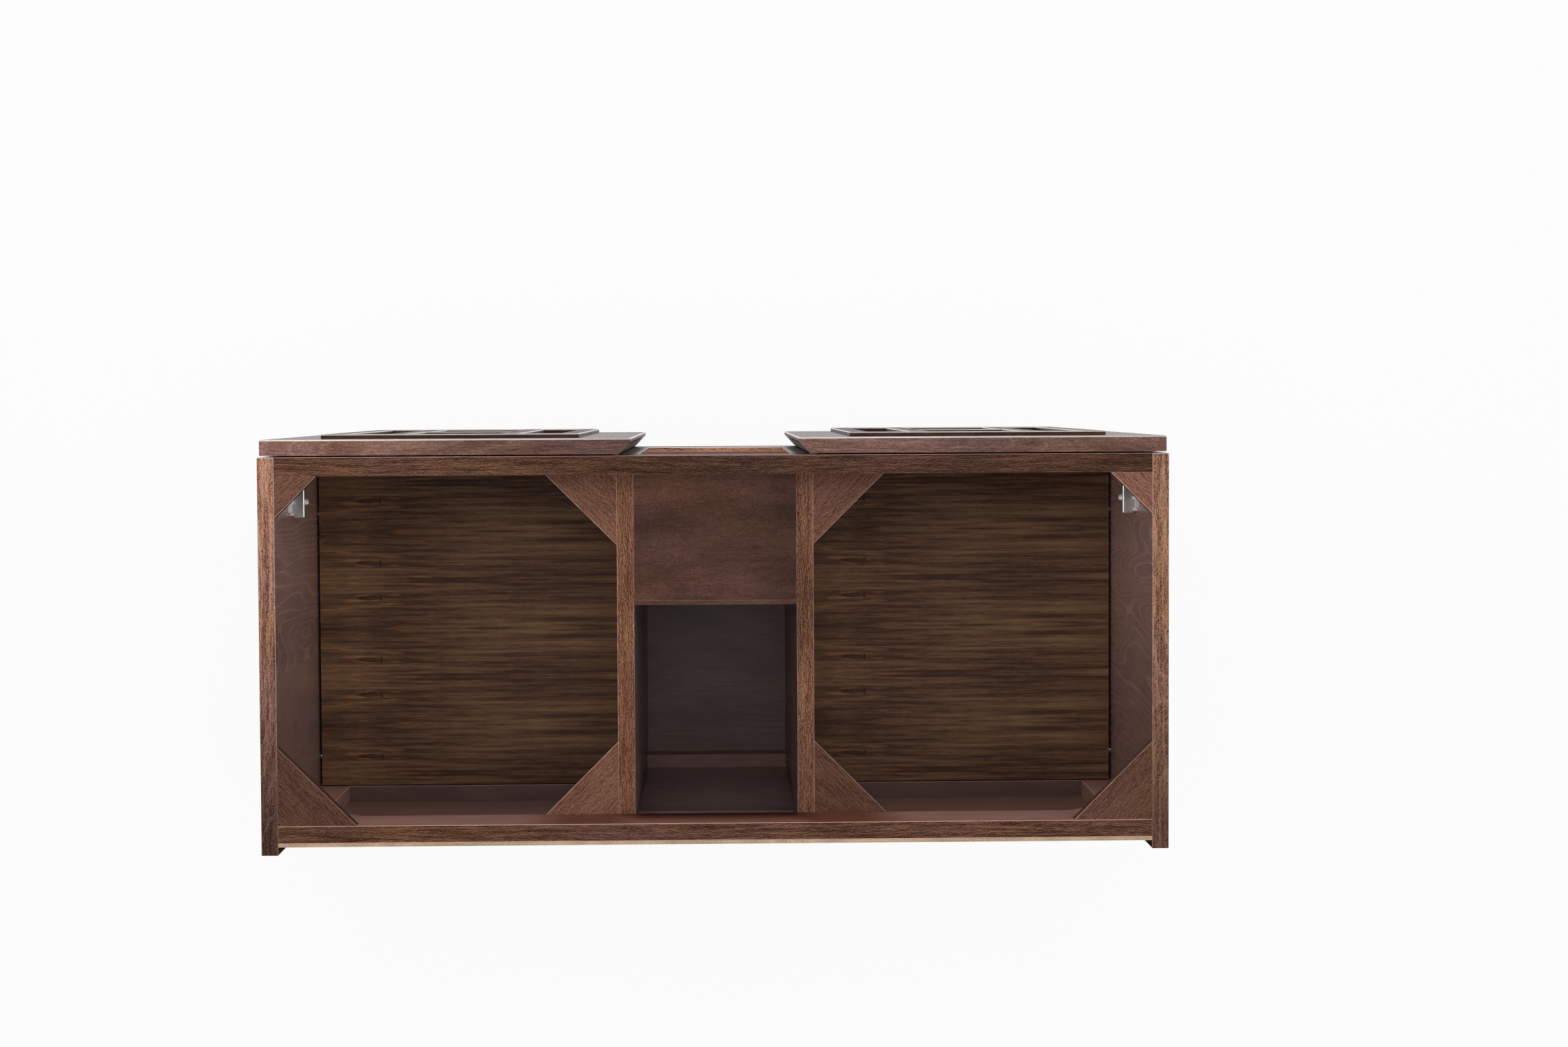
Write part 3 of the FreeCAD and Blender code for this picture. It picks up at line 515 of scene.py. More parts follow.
def walnut_looks(stain):
    """The colour and the figure of each walnut finish."""
    smooth = dict(pale=(1.35, 1.4, 1.4), deep=(0.7, 0.68, 0.66), mottle=0.6, streak=0.4, stroke=0.3, speck=0.3,
                  hue=0.3)
    wall = dict(smooth, stroke=0.15, speck=0.1)
    front = dict(stroke=0.7, speck=0.6, figure=0.4)
    return {
        "rail": (stain.rail, dict(pale=(2.2, 2.4, 2.5), deep=(0.32, 0.28, 0.24), streak=1.4, speck=1.0, grit=0.6,
                                  hue=0.5, painted_relief_shading=1.1, relief=0.5)),
        "edge": (stain.edge, dict(deep=(0.28, 0.21, 0.16), ripple=1.4, streak=1.5, stroke=1.5, speck=1.6, grit=1.4,
                                  figure=0.35, lines=0.2, hue=0.5, painted_relief_shading=0.8, relief=0.5)),
        "partition": (stain.partition, dict(pale=(2.3, 2.8, 3.2), deep=(0.36, 0.28, 0.22), ripple=0.6, grit=1.2,
                                            hue=0.3, painted_relief_shading=1.3, relief=0.5)),
        "gusset": (stain.gusset, dict(pale=(1.7, 1.9, 2.0), deep=(0.4, 0.34, 0.3), streak=0.7, stroke=1.2, ripple=1.0,
                                      grit=1.0, hue=0.3, painted_relief_shading=1.4, relief=0.6)),
        "niche": (stain.niche, dict(pale=(1.7, 1.8, 1.9), deep=(0.52, 0.48, 0.45), mottle=0.9, streak=0.3,
                                    ripple=0.8, grit=0.7, hue=0.6, relief=0.4)),
        "door_edge": (stain.door_edge, dict(streak=0.7, speck=0.9, figure=0.25, lines=0.12, hue=0.4, level=0.2)),
        "door": (stain.door, dict(front, roughness=0.33, level=0.29)),
        "front_rail": (stain.door, dict(front, level=0.1)),
        # The fret is the doors' stain darkened: painted shade
        "fret": (Vector(stain.door) * 0.7, dict(front, roughness=0.4, level=0.14)),
        "inner": (stain.inner, dict(wall, figure=0.1, lines=0.6, roughness=0.28, level=0.4)),
        # A painted reflection on the right wall's inner face towards the rear
        "rear_leaf": (Vector(stain.inner) * 0.95, dict(wall, roughness=0.3, level=0.32)),
        "back": (stain.back, dict(smooth, figure=0.25, roughness=0.34, level=0.4)),
        "rail_face": (Vector(stain.back) * 1.08, dict(smooth, figure=0.25, redden=0.35, roughness=0.4, level=0.14)),
        "hollow": (stain.hollow, dict(smooth, figure=0.2, roughness=0.3, level=0.4)),
        "rear_end": (stain.rail, dict(roughness=0.7, level=0.0)),
        "arris": (stain.arris, dict(smooth, roughness=0.18, level=1.0)),
    }


def finish(name):
    """The named finish, made once and then shared."""
    title = f"{name}_finish"
    if title in bpy.data.materials:
        return bpy.data.materials[title]
    stain = bpy.context.scene.vanity.stain
    others = {"shelf_veneer": (shelf_veneer, stain), "plywood": (plywood_edge, stain.plywood[:]),
              "nickel": (nickel_plate, stain.nickel[:], 0.85), "satin_nickel": (nickel_plate, stain.nickel[:], 0.25),
              "glide_plastic": (moulded, stain.glide[:], 0.5), "bumper_rubber": (moulded, stain.bumper[:], 0.4)}
    if name in others:
        maker, *values = others[name]
        return maker(title, *values)
    colour, options = walnut_looks(stain)[name]
    return walnut(title, colour[:], **options)


# Boards

def merged_solid(node):
    """The node's solids as a bmesh with their corners merged."""
    work = bmesh.new()
    work.from_mesh(frame["nodes"][node].data)
    bmesh.ops.remove_doubles(work, verts=work.verts, dist=MERGE)
    return work


def plain_solid(node):
    """The same with the triangles of each flat face joined."""
    work = merged_solid(node)
    bmesh.ops.dissolve_limit(work, angle_limit=FLAT_ANGLE, verts=work.verts, edges=work.edges)
    return work


def solids(node):
    """The lowest and highest corners of each separate solid of a node."""
    work = merged_solid(node)
    left = set(work.verts)
    boxes = []
    while left:
        reach = [left.pop()]
        island = list(reach)
        while reach:
            for edge in reach.pop().link_edges:
                for vertex in edge.verts:
                    if vertex in left:
                        left.remove(vertex)
                        reach.append(vertex)
                        island.append(vertex)
        boxes.append(tuple(Vector([end(vertex.co[axis] for vertex in island) for axis in range(3)])
                           for end in (min, max)))
    work.free()
    return sorted(boxes, key=lambda box: box[0][:])


def cut_across(work, cuts):
    """Score the board at each place along an axis, so that its tone can turn there."""
    for axis, place in cuts:
        bmesh.ops.bisect_plane(work, geom=work.verts[:] + work.edges[:] + work.faces[:], dist=MERGE,
                               plane_co=AXES[axis] * place, plane_no=AXES[axis])


def cuts_at(axis, *lines):
    return [(axis, stop) for stops in lines for stop, level in stops]


def corner_edges(work, long_edge):
    return [edge for edge in work.edges if len(edge.link_faces) == 2 and edge.calc_length() > long_edge
            and edge.calc_face_angle() > CORNER_ANGLE]


def ease(work, edges, arris, segments, clamp=True):
    """Round the edges, mark the new faces as rounded and the other corners, such as hole rims, as sharp."""
    mark = work.faces.layers.int.get("rounded") or work.faces.layers.int.new("rounded")
    made = bmesh.ops.bevel(work, geom=edges, offset=arris, offset_type="OFFSET", segments=segments, profile=0.5,
                           affect="EDGES", clamp_overlap=clamp, material=-1)
    for face in made["faces"]:
        face[mark] = 1
    for face in work.faces:
        face.smooth = True
    for edge in work.edges:
        edge.smooth = not (len(edge.link_faces) == 2 and edge.calc_face_angle() > SHARP_ANGLE)


def eased_mesh(work, name):
    """The eased solid as a mesh, and which of its faces are rounded."""
    mesh = bpy.data.meshes.new(name)
    work.to_mesh(mesh)
    work.free()
    rounded = [item.value for item in mesh.attributes["rounded"].data]
    mesh.attributes.remove(mesh.attributes["rounded"])
    return mesh, rounded


def lay_grain(mesh, thickness, grain, shift, wear_and_highlight, edge_grain=None, tone=None):
    """Store the grain coordinates: along the grain on the two broad faces, along the edge on the others.

    The tone, a factor on the colour that carries much painted light and shade, is stored beside them, times each
    face's paling for wear and painted highlight.
    """
    mesh.attributes.new("grain", "FLOAT_VECTOR", "CORNER")
    mesh.attributes.new("tone", "FLOAT", "CORNER")
    layer, tones = mesh.attributes["grain"], mesh.attributes["tone"]
    for polygon in mesh.polygons:
        normal, middle = polygon.normal, polygon.center
        if abs(normal.dot(thickness)) > FACING:
            across, fibre = thickness, grain
        else:
            across = normal - thickness * normal.dot(thickness)
            across.normalize()
            fibre = edge_grain or thickness.cross(across).normalized()
        side = across.cross(fibre).normalized()
        for corner in polygon.loop_indices:
            place = mesh.vertices[mesh.loops[corner].vertex_index].co
            layer.data[corner].vector = Vector((place.dot(fibre), place.dot(side), place.dot(across))) + shift
            depth = tone(place.lerp(middle, INTO_FACE), normal) if tone else 1.0
            tones.data[corner].value = wear_and_highlight[polygon.index] * depth


def link_piece(name, mesh):
    piece = bpy.data.objects.new(name, mesh)
    bpy.context.scene.collection.objects.link(piece)
    return piece


def bake_modifiers(piece):
    bpy.context.view_layer.update()
    ready = piece.evaluated_get(bpy.context.evaluated_depsgraph_get())
    baked = bpy.data.meshes.new_from_object(ready)
    piece.modifiers.clear()
    piece.data = baked


def hand_over(piece, nodes):
    """Put the piece in place of its nodes, on their body."""
    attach(piece, BODY_OF[nodes[0]])
    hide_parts(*nodes)


def settle(name, mesh, *nodes):
    """Link the finished mesh as a piece in place of its nodes, with area-weighted normals on its rounded edges."""
    piece = link_piece(name, mesh)
    piece.modifiers.new("normals", "WEIGHTED_NORMAL").keep_sharp = True
    bake_modifiers(piece)
    hand_over(piece, nodes)


def board(node, thickness, grain, face, edge, arris=None, shift=None, paint=None, tone=None, cuts=(), rim=None,
          edge_wear_and_highlight=EDGE_WEAR_AND_HIGHLIGHT, front_only=False):
    """An eased board in place of a node.

    paint may give a face another finish and tone a factor on its colour, much of it painted light and shade, which
    turns at the cuts; rim may give a rounded edge its own finish, a painted highlight, and the other rounded edges
    are paler than the faces, for wear and a painted highlight. Only the outline of the front face is rounded if asked.
    """
    easing = bpy.context.scene.vanity.easing
    work = plain_solid(node)
    cut_across(work, cuts)
    if front_only:
        front = min(vertex.co.y for vertex in work.verts) + NEAR
        edges = [edge for edge in corner_edges(work, 0.0) if all(vertex.co.y < front for vertex in edge.verts)]
    else:
        edges = corner_edges(work, BOARD_EDGE)
    ease(work, edges, arris or easing.board, easing.segments)
    mesh, rounded = eased_mesh(work, f"{node}_board")
    names, wear_and_highlight = [], []
    for polygon in mesh.polygons:
        name = paint(polygon.normal, polygon.center) if paint else None
        name = name or (face if abs(polygon.normal.dot(AXES[thickness])) > FACING else edge)
        # A rim finish is a painted highlight; the other rounded edges are paled for wear and a painted highlight
        bright = rim(polygon.normal) if rim and rounded[polygon.index] else None
        wear_and_highlight.append(edge_wear_and_highlight if rounded[polygon.index] and not bright else NO_WEAR)
        name = bright or name
        if name not in names:
            names.append(name)
            mesh.materials.append(finish(name))
        polygon.material_index = names.index(name)
    if shift is None:
        draw = random.Random(node)
        shift = Vector((draw.uniform(0, 9), draw.uniform(0, 9), draw.uniform(0, 9)))
    along = AXES[grain] if isinstance(grain, str) else grain
    lay_grain(mesh, AXES[thickness], along, shift, wear_and_highlight, None if isinstance(grain, str) else grain, tone)
    settle(f"{node}_board", mesh, node)


def dress(node, name):
    """Give a node that keeps its solid a finish."""
    mesh = frame["nodes"][node].data
    mesh.materials.clear()
    mesh.materials.append(finish(name))


# Finishes of the rounded edges, which are painted highlights, and of single faces

def front_rim(normal, name="arris"):
    """A painted highlight: the finish of the arris along the front of the upper edges."""
    return name if normal.y < -LEANING and normal.z > LEANING else None


def inner_rim(normal, side):
    """A painted highlight: the pale arris along the bay side of the upper edges."""
    inward = normal.x if side == "left" else -normal.x
    return "inner" if inward > LEANING and normal.z > LEANING else None


def slope_rim(normal):
    """A painted highlight: the pale arris along the sloping edge of a gusset."""
    return "inner" if min(abs(normal.x), abs(normal.y)) > SLOPING and normal.z > LEANING else None


def wall_finish(normal, middle, side):
    """The side panels' outer faces are stained as the doors; the right wall's inner face has a painted reflection
    towards the rear.
    """
    if normal.y < -FACING:
        return "door"
    if abs(normal.x) < FACING:
        return None
    if normal.x * middle.x > OUTER_FACE:
        return "door"
    if middle.y > PANEL_FACE_Y:
        return "rear_end"
    return "rear_leaf" if side == "right" and middle.y > PAINTED_REFLECTION_Y else "inner"


def partition_finish(normal, middle):
    return "hollow" if normal.x * middle.x < HOLLOW_FACE else None


def panel_finish(normal, middle):
    if normal.y > -FACING:
        return None
    return "hollow" if abs(middle.x) < HOLLOW_HALF else "back"


def door_finish(normal, middle):
    """The bevelled finger edge is stained as the door's face."""
    return "door" if min(abs(normal.x), abs(normal.y)) > BEVELLED else None


# Tones, many of them painted light and shade

def along_line(value, stops):
    """The height at a value of a line through stops, each a value and a height."""
    if value <= stops[0][0]:
        return stops[0][1]
    for (start, low), (end, high) in zip(stops, stops[1:]):
        if value <= end:
            return low + (high - low) * (value - start) / (end - start)
    return stops[-1][1]


def even_tone(level):
    return lambda place, normal: level


def top_turns(axis, stops):
    """The tone of an upper face along an axis, and the cuts where it turns."""
    def tone(place, normal):
        return along_line(place["XYZ".index(axis)], stops) if normal.z > UPWARD else 1.0
    return {"tone": tone, "cuts": cuts_at(axis, stops)}


def top_level(level):
    return lambda place, normal: level if normal.z > UPWARD else 1.0


def wall_tone(side):
    """Painted light and shade: the side panels' upper edges are paler towards the front; their faces are darker near
    the top and towards the rear.
    """
    def tone(place, normal):
        if normal.z > UPWARD:
            return along_line(place.y, SIDE_TOP_PAINTED_LIGHT[side])
        if abs(normal.y) > FACING or normal.x * place.x > OUTER_FACE:
            return 1.0
        return along_line(place.z, WALL_PAINTED_LIGHT_Z) * along_line(place.y, WALL_PAINTED_LIGHT_Y[side])
    return tone


def partition_tone(side):
    """The partitions' upper edges turn paler and darker along their length; the left one's face in the hollow has
    painted light and shade, darker at the top of the hollow.
    """
    def tone(place, normal):
        if normal.z > UPWARD:
            return along_line(place.y, PARTITION_TONES[side])
        if normal.x * place.x < HOLLOW_FACE:
            return along_line(place.z, HOLLOW_PAINTED_LIGHT) if side == "left" else HOLLOW_RIGHT_TONE
        return 1.0
    return tone


def back_rail_tone(place, normal):
    """Painted shade: the back rail's face turns darker towards the middle, most of all low down behind the hollow."""
    if normal.z > FACING:
        return BACK_RAIL_TOP_TONE
    if normal.y < -STRAIGHT_ON:
        middle = along_line(place.z, BACK_RAIL_PAINTED_SHADE_Z)
        return along_line(abs(place.x), ((BACK_RAIL_MIDDLE, middle),) + BACK_RAIL_PAINTED_SHADE_X)
    return 1.0


def panel_tone(place, normal):
    """Painted shade: the back panel's front is darker below the top rail."""
    if normal.y > -FACING:
        return 1.0
    return PANEL_MIDDLE_TONE if abs(place.x) < HOLLOW_HALF else along_line(place.z, PANEL_PAINTED_SHADE)


def niche_tone(place, normal):
    if normal.z <= UPWARD:
        return 1.0
    return along_line(place.y, NICHE_TONES_Y) * along_line(place.x, NICHE_TONES_X)


# Geometry Nodes trees for the repeated fixings

def node_group(name, sizes):
    """A tree that takes points with a facing direction, with named inputs for its sizes and material."""
    group = bpy.data.node_groups.new(name, "GeometryNodeTree")
    group.interface.new_socket("Geometry", in_out="INPUT", socket_type="NodeSocketGeometry")
    for size in sizes:
        group.interface.new_socket(size, in_out="INPUT", socket_type="NodeSocketFloat")
    group.interface.new_socket("Material", in_out="INPUT", socket_type="NodeSocketMaterial")
    group.interface.new_socket("Geometry", in_out="OUTPUT", socket_type="NodeSocketGeometry")
    return group, put(group, "NodeGroupInput"), put(group, "NodeGroupOutput")


def place_copies(group, entry, leave, shape):
    """Stand a copy of the shape on every point, turned to its facing, and make it real."""
    facing = wire(group, "GeometryNodeInputNamedAttribute", {"Name": "facing"}, "Attribute", data_type="FLOAT_VECTOR")
    turn = wire(group, "FunctionNodeAlignRotationToVector", {"Vector": facing}, axis="Z")
    copies = wire(group, "GeometryNodeInstanceOnPoints", {"Points": entry.outputs["Geometry"], "Instance": shape,
                                                          "Rotation": turn})
    real = wire(group, "GeometryNodeRealizeInstances", {"Geometry": copies})
    painted = wire(group, "GeometryNodeSetMaterial", {"Geometry": real, "Material": entry.outputs["Material"]})
    group.links.new(painted.socket, leave.inputs["Geometry"])


def moved(shape, shift, turn=(0.0, 0.0, 0.0)):
    return wire(shape.tree, "GeometryNodeTransform", {"Geometry": shape, "Translation": shift, "Rotation": turn})


def up(height):
    return wire(height.tree, "ShaderNodeCombineXYZ", {2: height})


def gathered(group, kind, name, shapes, **settings):
    """The shapes led into the one input with the name, as a join or a union takes them."""
    node = put(group, kind, **settings)
    for shape in shapes:
        group.links.new(shape.socket, node.inputs[name])
    return Wire(node.outputs[0])


def screw_tree():
    """Round-headed screws with a cross recess; a point is where the head meets the surface."""
    group, entry, leave = node_group("screws", ("Head Radius", "Head Height", "Shank Radius", "Shank Length"))
    radius, height, shank_radius, shank_length = (Wire(size) for size in entry.outputs[1:5])
    crown = wire(group, "GeometryNodeMeshCone", {"Vertices": 32, "Side Segments": 2, "Radius Bottom": radius,
                                                 "Radius Top": radius * HEAD_TOP, "Depth": height})
    arm = wire(group, "ShaderNodeCombineXYZ", {0: radius * CROSS_LENGTH, 1: radius * CROSS_WIDTH, 2: height})
    bar = wire(group, "GeometryNodeMeshCube", {"Size": arm})
    lift = up(height * CROSS_LIFT)
    cross = gathered(group, "GeometryNodeMeshBoolean", "Mesh 2",
                     [moved(bar, lift, (0.0, 0.0, math.radians(angle))) for angle in CROSS_ANGLES], operation="UNION")
    head = wire(group, "GeometryNodeMeshBoolean", {"Mesh 1": crown, "Mesh 2": cross}, operation="DIFFERENCE")
    shank = wire(group, "GeometryNodeMeshCylinder", {"Vertices": 16, "Radius": shank_radius, "Depth": shank_length})
    sunk = moved(shank, up(shank_length * -0.5))
    place_copies(group, entry, leave, gathered(group, "GeometryNodeJoinGeometry", "Geometry", (head, sunk)))
    return group


def button_tree():
    """Low round buttons with a sloped rim; a point is the middle of the fixed face."""
    group, entry, leave = node_group("buttons", ("Radius", "Height"))
    radius, height = (Wire(size) for size in entry.outputs[1:3])
    rim, top = height * BUTTON_RIM, radius * BUTTON_TOP
    facets = {"Vertices": 40}
    drum = wire(group, "GeometryNodeMeshCylinder", {**facets, "Radius": radius, "Depth": rim}, fill_type="NONE")
    cap = wire(group, "GeometryNodeMeshCone", {**facets, "Radius Bottom": radius, "Radius Top": top,
                                               "Depth": height - rim}, fill_type="NONE")
    base = wire(group, "GeometryNodeMeshCircle", {**facets, "Radius": radius}, fill_type="NGON")
    flipped = wire(group, "GeometryNodeFlipFaces", {"Mesh": base})
    face = wire(group, "GeometryNodeMeshCircle", {**facets, "Radius": top}, fill_type="NGON")
    shapes = (moved(drum, up(rim * 0.5)), moved(cap, up(rim)), flipped, moved(face, up(height)))
    joined = gathered(group, "GeometryNodeJoinGeometry", "Geometry", shapes)
    closed = wire(group, "GeometryNodeMergeByDistance", {"Geometry": joined, "Distance": NEAR})
    place_copies(group, entry, leave, closed)
    return group


def shared_tree(name, maker):
    return bpy.data.node_groups[name] if name in bpy.data.node_groups else maker()


def scatter(name, tree, points, sizes, material, *nodes):
    """A piece made by a tree on points, each a place and a facing, in place of its nodes."""
    mesh = bpy.data.meshes.new(name)
    mesh.from_pydata([place for place, facing in points], [], [])
    layer = mesh.attributes.new("facing", "FLOAT_VECTOR", "POINT")
    for index, (place, facing) in enumerate(points):
        layer.data[index].vector = facing
    piece = link_piece(name, mesh)
    modifier = piece.modifiers.new("copies", "NODES")
    modifier.node_group = tree
    settings = dict(sizes, Material=material)
    for item in tree.interface.items_tree:
        if item.in_out == "INPUT" and item.name in settings:
            modifier[item.identifier] = settings[item.name]
    bake_modifiers(piece)
    hand_over(piece, nodes)


def buttons(name, node, facing, material):
    """Round buttons in place of a node's low cylinders, each fixed at its back."""
    boxes = solids(node)
    low, high = boxes[0]
    height = abs((high - low).dot(facing))
    points = [((start + end) / 2 - facing * height / 2, facing) for start, end in boxes]
    scatter(name, shared_tree("buttons", button_tree), points,
            {"Radius": (high.x - low.x) / 2, "Height": height}, finish(material), node)


# Frets

def fret_cells(strips, edges_x, edges_z):
    """The grain of each cell that a strip covers, by its column and row between the strips' edges."""
    cells = {}
    for column, ends_x in enumerate(zip(edges_x, edges_x[1:])):
        for row, ends_z in enumerate(zip(edges_z, edges_z[1:])):
            middle_x, middle_z = sum(ends_x) / 2, sum(ends_z) / 2
            for (low, high), grain in strips:
                if low.x < middle_x < high.x and low.z < middle_z < high.z:
                    cells[column, row] = grain
    return cells


def fret_lattice(cells, edges_x, edges_z, front, back):
    """A closed lattice of the cells, with the grain of each face as its material number."""
    work = bmesh.new()
    corners = {}

    def corner(column, row, depth):
        key = (column, row, depth)
        if key not in corners:
            corners[key] = work.verts.new((edges_x[column], depth, edges_z[row]))
        return corners[key]

    for (column, row), grain in cells.items():
        ring = [(column, row), (column + 1, row), (column + 1, row + 1), (column, row + 1)]
        faces = [[corner(*spot, front) for spot in ring], [corner(*spot, back) for spot in reversed(ring)]]
        beside = [(column, row - 1), (column + 1, row), (column, row + 1), (column - 1, row)]
        for index, other in enumerate(beside):
            if other not in cells:
                start, end = ring[index], ring[(index + 1) % 4]
                faces.append([corner(*start, back), corner(*end, back), corner(*end, front), corner(*start, front)])
        for spots in faces:
            work.faces.new(spots).material_index = FRET_GRAINS.index(grain)
    bmesh.ops.recalc_face_normals(work, faces=work.faces)
    bmesh.ops.dissolve_limit(work, angle_limit=FLAT_ANGLE, verts=work.verts, edges=work.edges, delimit={"MATERIAL"})
    return work


def fret(side):
    """The raised fret of a door as one lattice: rails with the grain across, bars with the grain upright."""
    easing = bpy.context.scene.vanity.easing
    nodes = [f"fret_{part}_{side}" for part in ("rails", "bars", "crossbar")]
    rails, bars, crossbar = (solids(node) for node in nodes)
    strips = [(box, "Z") for box in bars] + [(box, "X") for box in rails + crossbar]
    edges_x = sorted({round(end.x, 5) for box, grain in strips for end in box})
    edges_z = sorted({round(end.z, 5) for box, grain in strips for end in box})
    front, back = (end.y for end in rails[0])
    work = fret_lattice(fret_cells(strips, edges_x, edges_z), edges_x, edges_z, front, back)
    outline = [edge for edge in work.edges if edge.calc_face_angle() > CORNER_ANGLE
               and all(abs(vertex.co.y - front) < MERGE for vertex in edge.verts)]
    ease(work, outline, easing.fret, easing.segments)
    mesh, rounded = eased_mesh(work, f"fret_{side}")
    mesh.attributes.new("grain", "FLOAT_VECTOR", "CORNER")
    mesh.attributes.new("tone", "FLOAT", "CORNER").data.foreach_set("value", [1.0] * len(mesh.loops))
    layer = mesh.attributes["grain"]
    for polygon in mesh.polygons:
        upright = FRET_GRAINS[polygon.material_index] == "Z"
        for loop in polygon.loop_indices:
            x, y, z = mesh.vertices[mesh.loops[loop].vertex_index].co
            layer.data[loop].vector = (z, x, y) if upright else (x, z + FRET_GRAIN_SHIFT, y)
        polygon.material_index = 1 if rounded[polygon.index] else 0
    # The rounded faces take the arris finish, a painted highlight
    for name in ("fret", "arris"):
        mesh.materials.append(finish(name))
    settle(f"fret_{side}", mesh, *nodes)


# Hinges

def hinge_piece(node, bend=0.0, plating="nickel"):
    """A plated hinge piece; bend rounds the folded corners of its inmost face instead of the other edges."""
    easing = bpy.context.scene.vanity.easing
    work = plain_solid(node)
    if bend:
        inmost = min(abs(vertex.co.x) for vertex in work.verts)
        folds = [edge for edge in corner_edges(work, FOLD_EDGE)
                 if all(abs(abs(vertex.co.x) - inmost) < NEAR for vertex in edge.verts)]
        ease(work, folds, bend, easing.fold_segments, clamp=False)
    else:
        ease(work, corner_edges(work, METAL_EDGE), easing.metal, easing.metal_segments)
    mesh, rounded = eased_mesh(work, f"{node}_plated")
    mesh.materials.append(finish(plating))
    settle(f"{node}_plated", mesh, node)


def hinge_screws(group, side, facing):
    """Cross-headed screws in place of a group of screws that all face one way."""
    node = f"{group}_{side}"
    radius, height = SCREW_HEADS[group]
    boxes = solids(node)
    points = []
    for low, high in boxes:
        reach = abs((high - low).dot(facing)) / 2
        points.append(((low + high) / 2 + facing * (reach - height), facing))
    low, high = boxes[0]
    scatter(f"{group}_cross_headed_{side}", shared_tree("screws", screw_tree), points,
            {"Head Radius": radius, "Head Height": height, "Shank Radius": SCREW_SHANK_RADIUS,
             "Shank Length": abs((high - low).dot(facing)) - height}, finish("satin_nickel"), node)


# Operators, one for each group of pieces

class VANITY_OT_case(bpy.types.Operator):
    """Side panels, front frame and bottom of the case"""
    bl_idname = "vanity.case"
    bl_label = "Case boards"

    def execute(self, context):
        for side in SIDES:
            # Painted light and shade, a painted reflection and painted highlights on the side panels
            board(f"side_panel_{side}", "X", "Z", "inner", "edge", tone=wall_tone(side),
                  cuts=cuts_at("Y", SIDE_TOP_PAINTED_LIGHT[side], WALL_PAINTED_LIGHT_Y[side]) + [("Y", PANEL_FACE_Y)]
                  + cuts_at("Z", WALL_PAINTED_LIGHT_Z),
                  paint=lambda normal, middle: wall_finish(normal, middle, side),
                  rim=lambda normal: front_rim(normal) or inner_rim(normal, side), edge_wear_and_highlight=PANEL_WEAR_AND_HIGHLIGHT)
            board(f"niche_stile_{side}", "Y", "Z", "door", "inner")
        for rail in ("front_top_rail", "front_bottom_rail"):
            # Painted highlight along the rails' front arris
            board(rail, "Y", "X", "front_rail", "rail", rim=lambda normal: front_rim(normal, "inner"),
                  arris=context.scene.vanity.easing.rail, **top_turns("X", FRONT_RAIL_TONES))
        # Painted light on the apron's upper edge and a painted highlight along its front arris
        board("niche_apron", "Y", "X", "door", "edge", rim=front_rim, tone=top_level(APRON_TOP_PAINTED_LIGHT))
        board("bottom_panel", "Z", "X", "hollow", "hollow")
        return {"FINISHED"}


class VANITY_OT_centre(bpy.types.Operator):
    """Partitions and the boards of the niche and the hollow"""
    bl_idname = "vanity.centre"
    bl_label = "Centre boards"

    def execute(self, context):
        easing = context.scene.vanity.easing
        for side in SIDES:
            # Painted light and shade on the left partition's face in the hollow
            board(f"partition_{side}", "X", "Z", "inner", "partition", paint=partition_finish,
                  tone=partition_tone(side), cuts=cuts_at("Z", HOLLOW_PAINTED_LIGHT) + cuts_at("Y", PARTITION_TONES[side]))
        board("niche_top", "Z", "X", "niche", "niche", tone=niche_tone,
              cuts=cuts_at("Y", NICHE_TONES_Y) + cuts_at("X", NICHE_TONES_X))
        for shelf in ("niche_floor", "niche_shelf"):
            # Painted light along the niche shelves' front lip
            board(shelf, "Z", "X", "niche", "edge", **top_turns("Y", NICHE_LIP_PAINTED_LIGHT))
        board("niche_back", "Y", "Z", "hollow", "niche", arris=easing.rail)
        # Painted light and shade on the hollow's back board
        board("hollow_back", "Y", "X", "hollow", "hollow", arris=easing.sheet, edge_wear_and_highlight=NO_WEAR,
              tone=lambda place, normal: along_line(place.z, HOLLOW_BACK_PAINTED_LIGHT), cuts=cuts_at("Z", HOLLOW_BACK_PAINTED_LIGHT))
        return {"FINISHED"}


class VANITY_OT_back(bpy.types.Operator):
    """Back frame and the plywood panel behind it"""
    bl_idname = "vanity.back"
    bl_label = "Back frame"

    def execute(self, context):
        turns = [BACK_RAIL_MIDDLE] + [stop for stop, level in BACK_RAIL_PAINTED_SHADE_X]
        # Painted shade on the back rail's face and a painted highlight along its front arris
        board("back_top_rail", "Y", "X", "rail_face", "rail", tone=back_rail_tone,
              cuts=[("X", sign * place) for sign in (-1, 1) for place in turns] + cuts_at("Z", BACK_RAIL_PAINTED_SHADE_Z),
              rim=lambda normal: front_rim(normal, "back"), edge_wear_and_highlight=BACK_RAIL_WEAR_AND_HIGHLIGHT)
        board("back_foot_rail", "Y", "X", "back", "back", tone=even_tone(FOOT_RAIL_TONE))
        for side in SIDES:
            board(f"back_post_{side}", "Y", "Z", "back", "back")
            board(f"back_mid_rail_{side}", "Y", "X", "back", "back", tone=top_level(MID_RAIL_TOP_TONE))
            # Painted shade on the hollow's posts
            board(f"hollow_post_{side}", "X", "Z", "hollow", "hollow", tone=even_tone(HOLLOW_POST_PAINTED_SHADE), edge_wear_and_highlight=NO_WEAR)
        # Painted shade on the back panel's front
        board("back_panel", "Y", "X", "plywood", "plywood", arris=context.scene.vanity.easing.sheet,
              paint=panel_finish, tone=panel_tone,
              cuts=[("X", -HOLLOW_HALF), ("X", HOLLOW_HALF)] + cuts_at("Z", PANEL_PAINTED_SHADE))
        return {"FINISHED"}


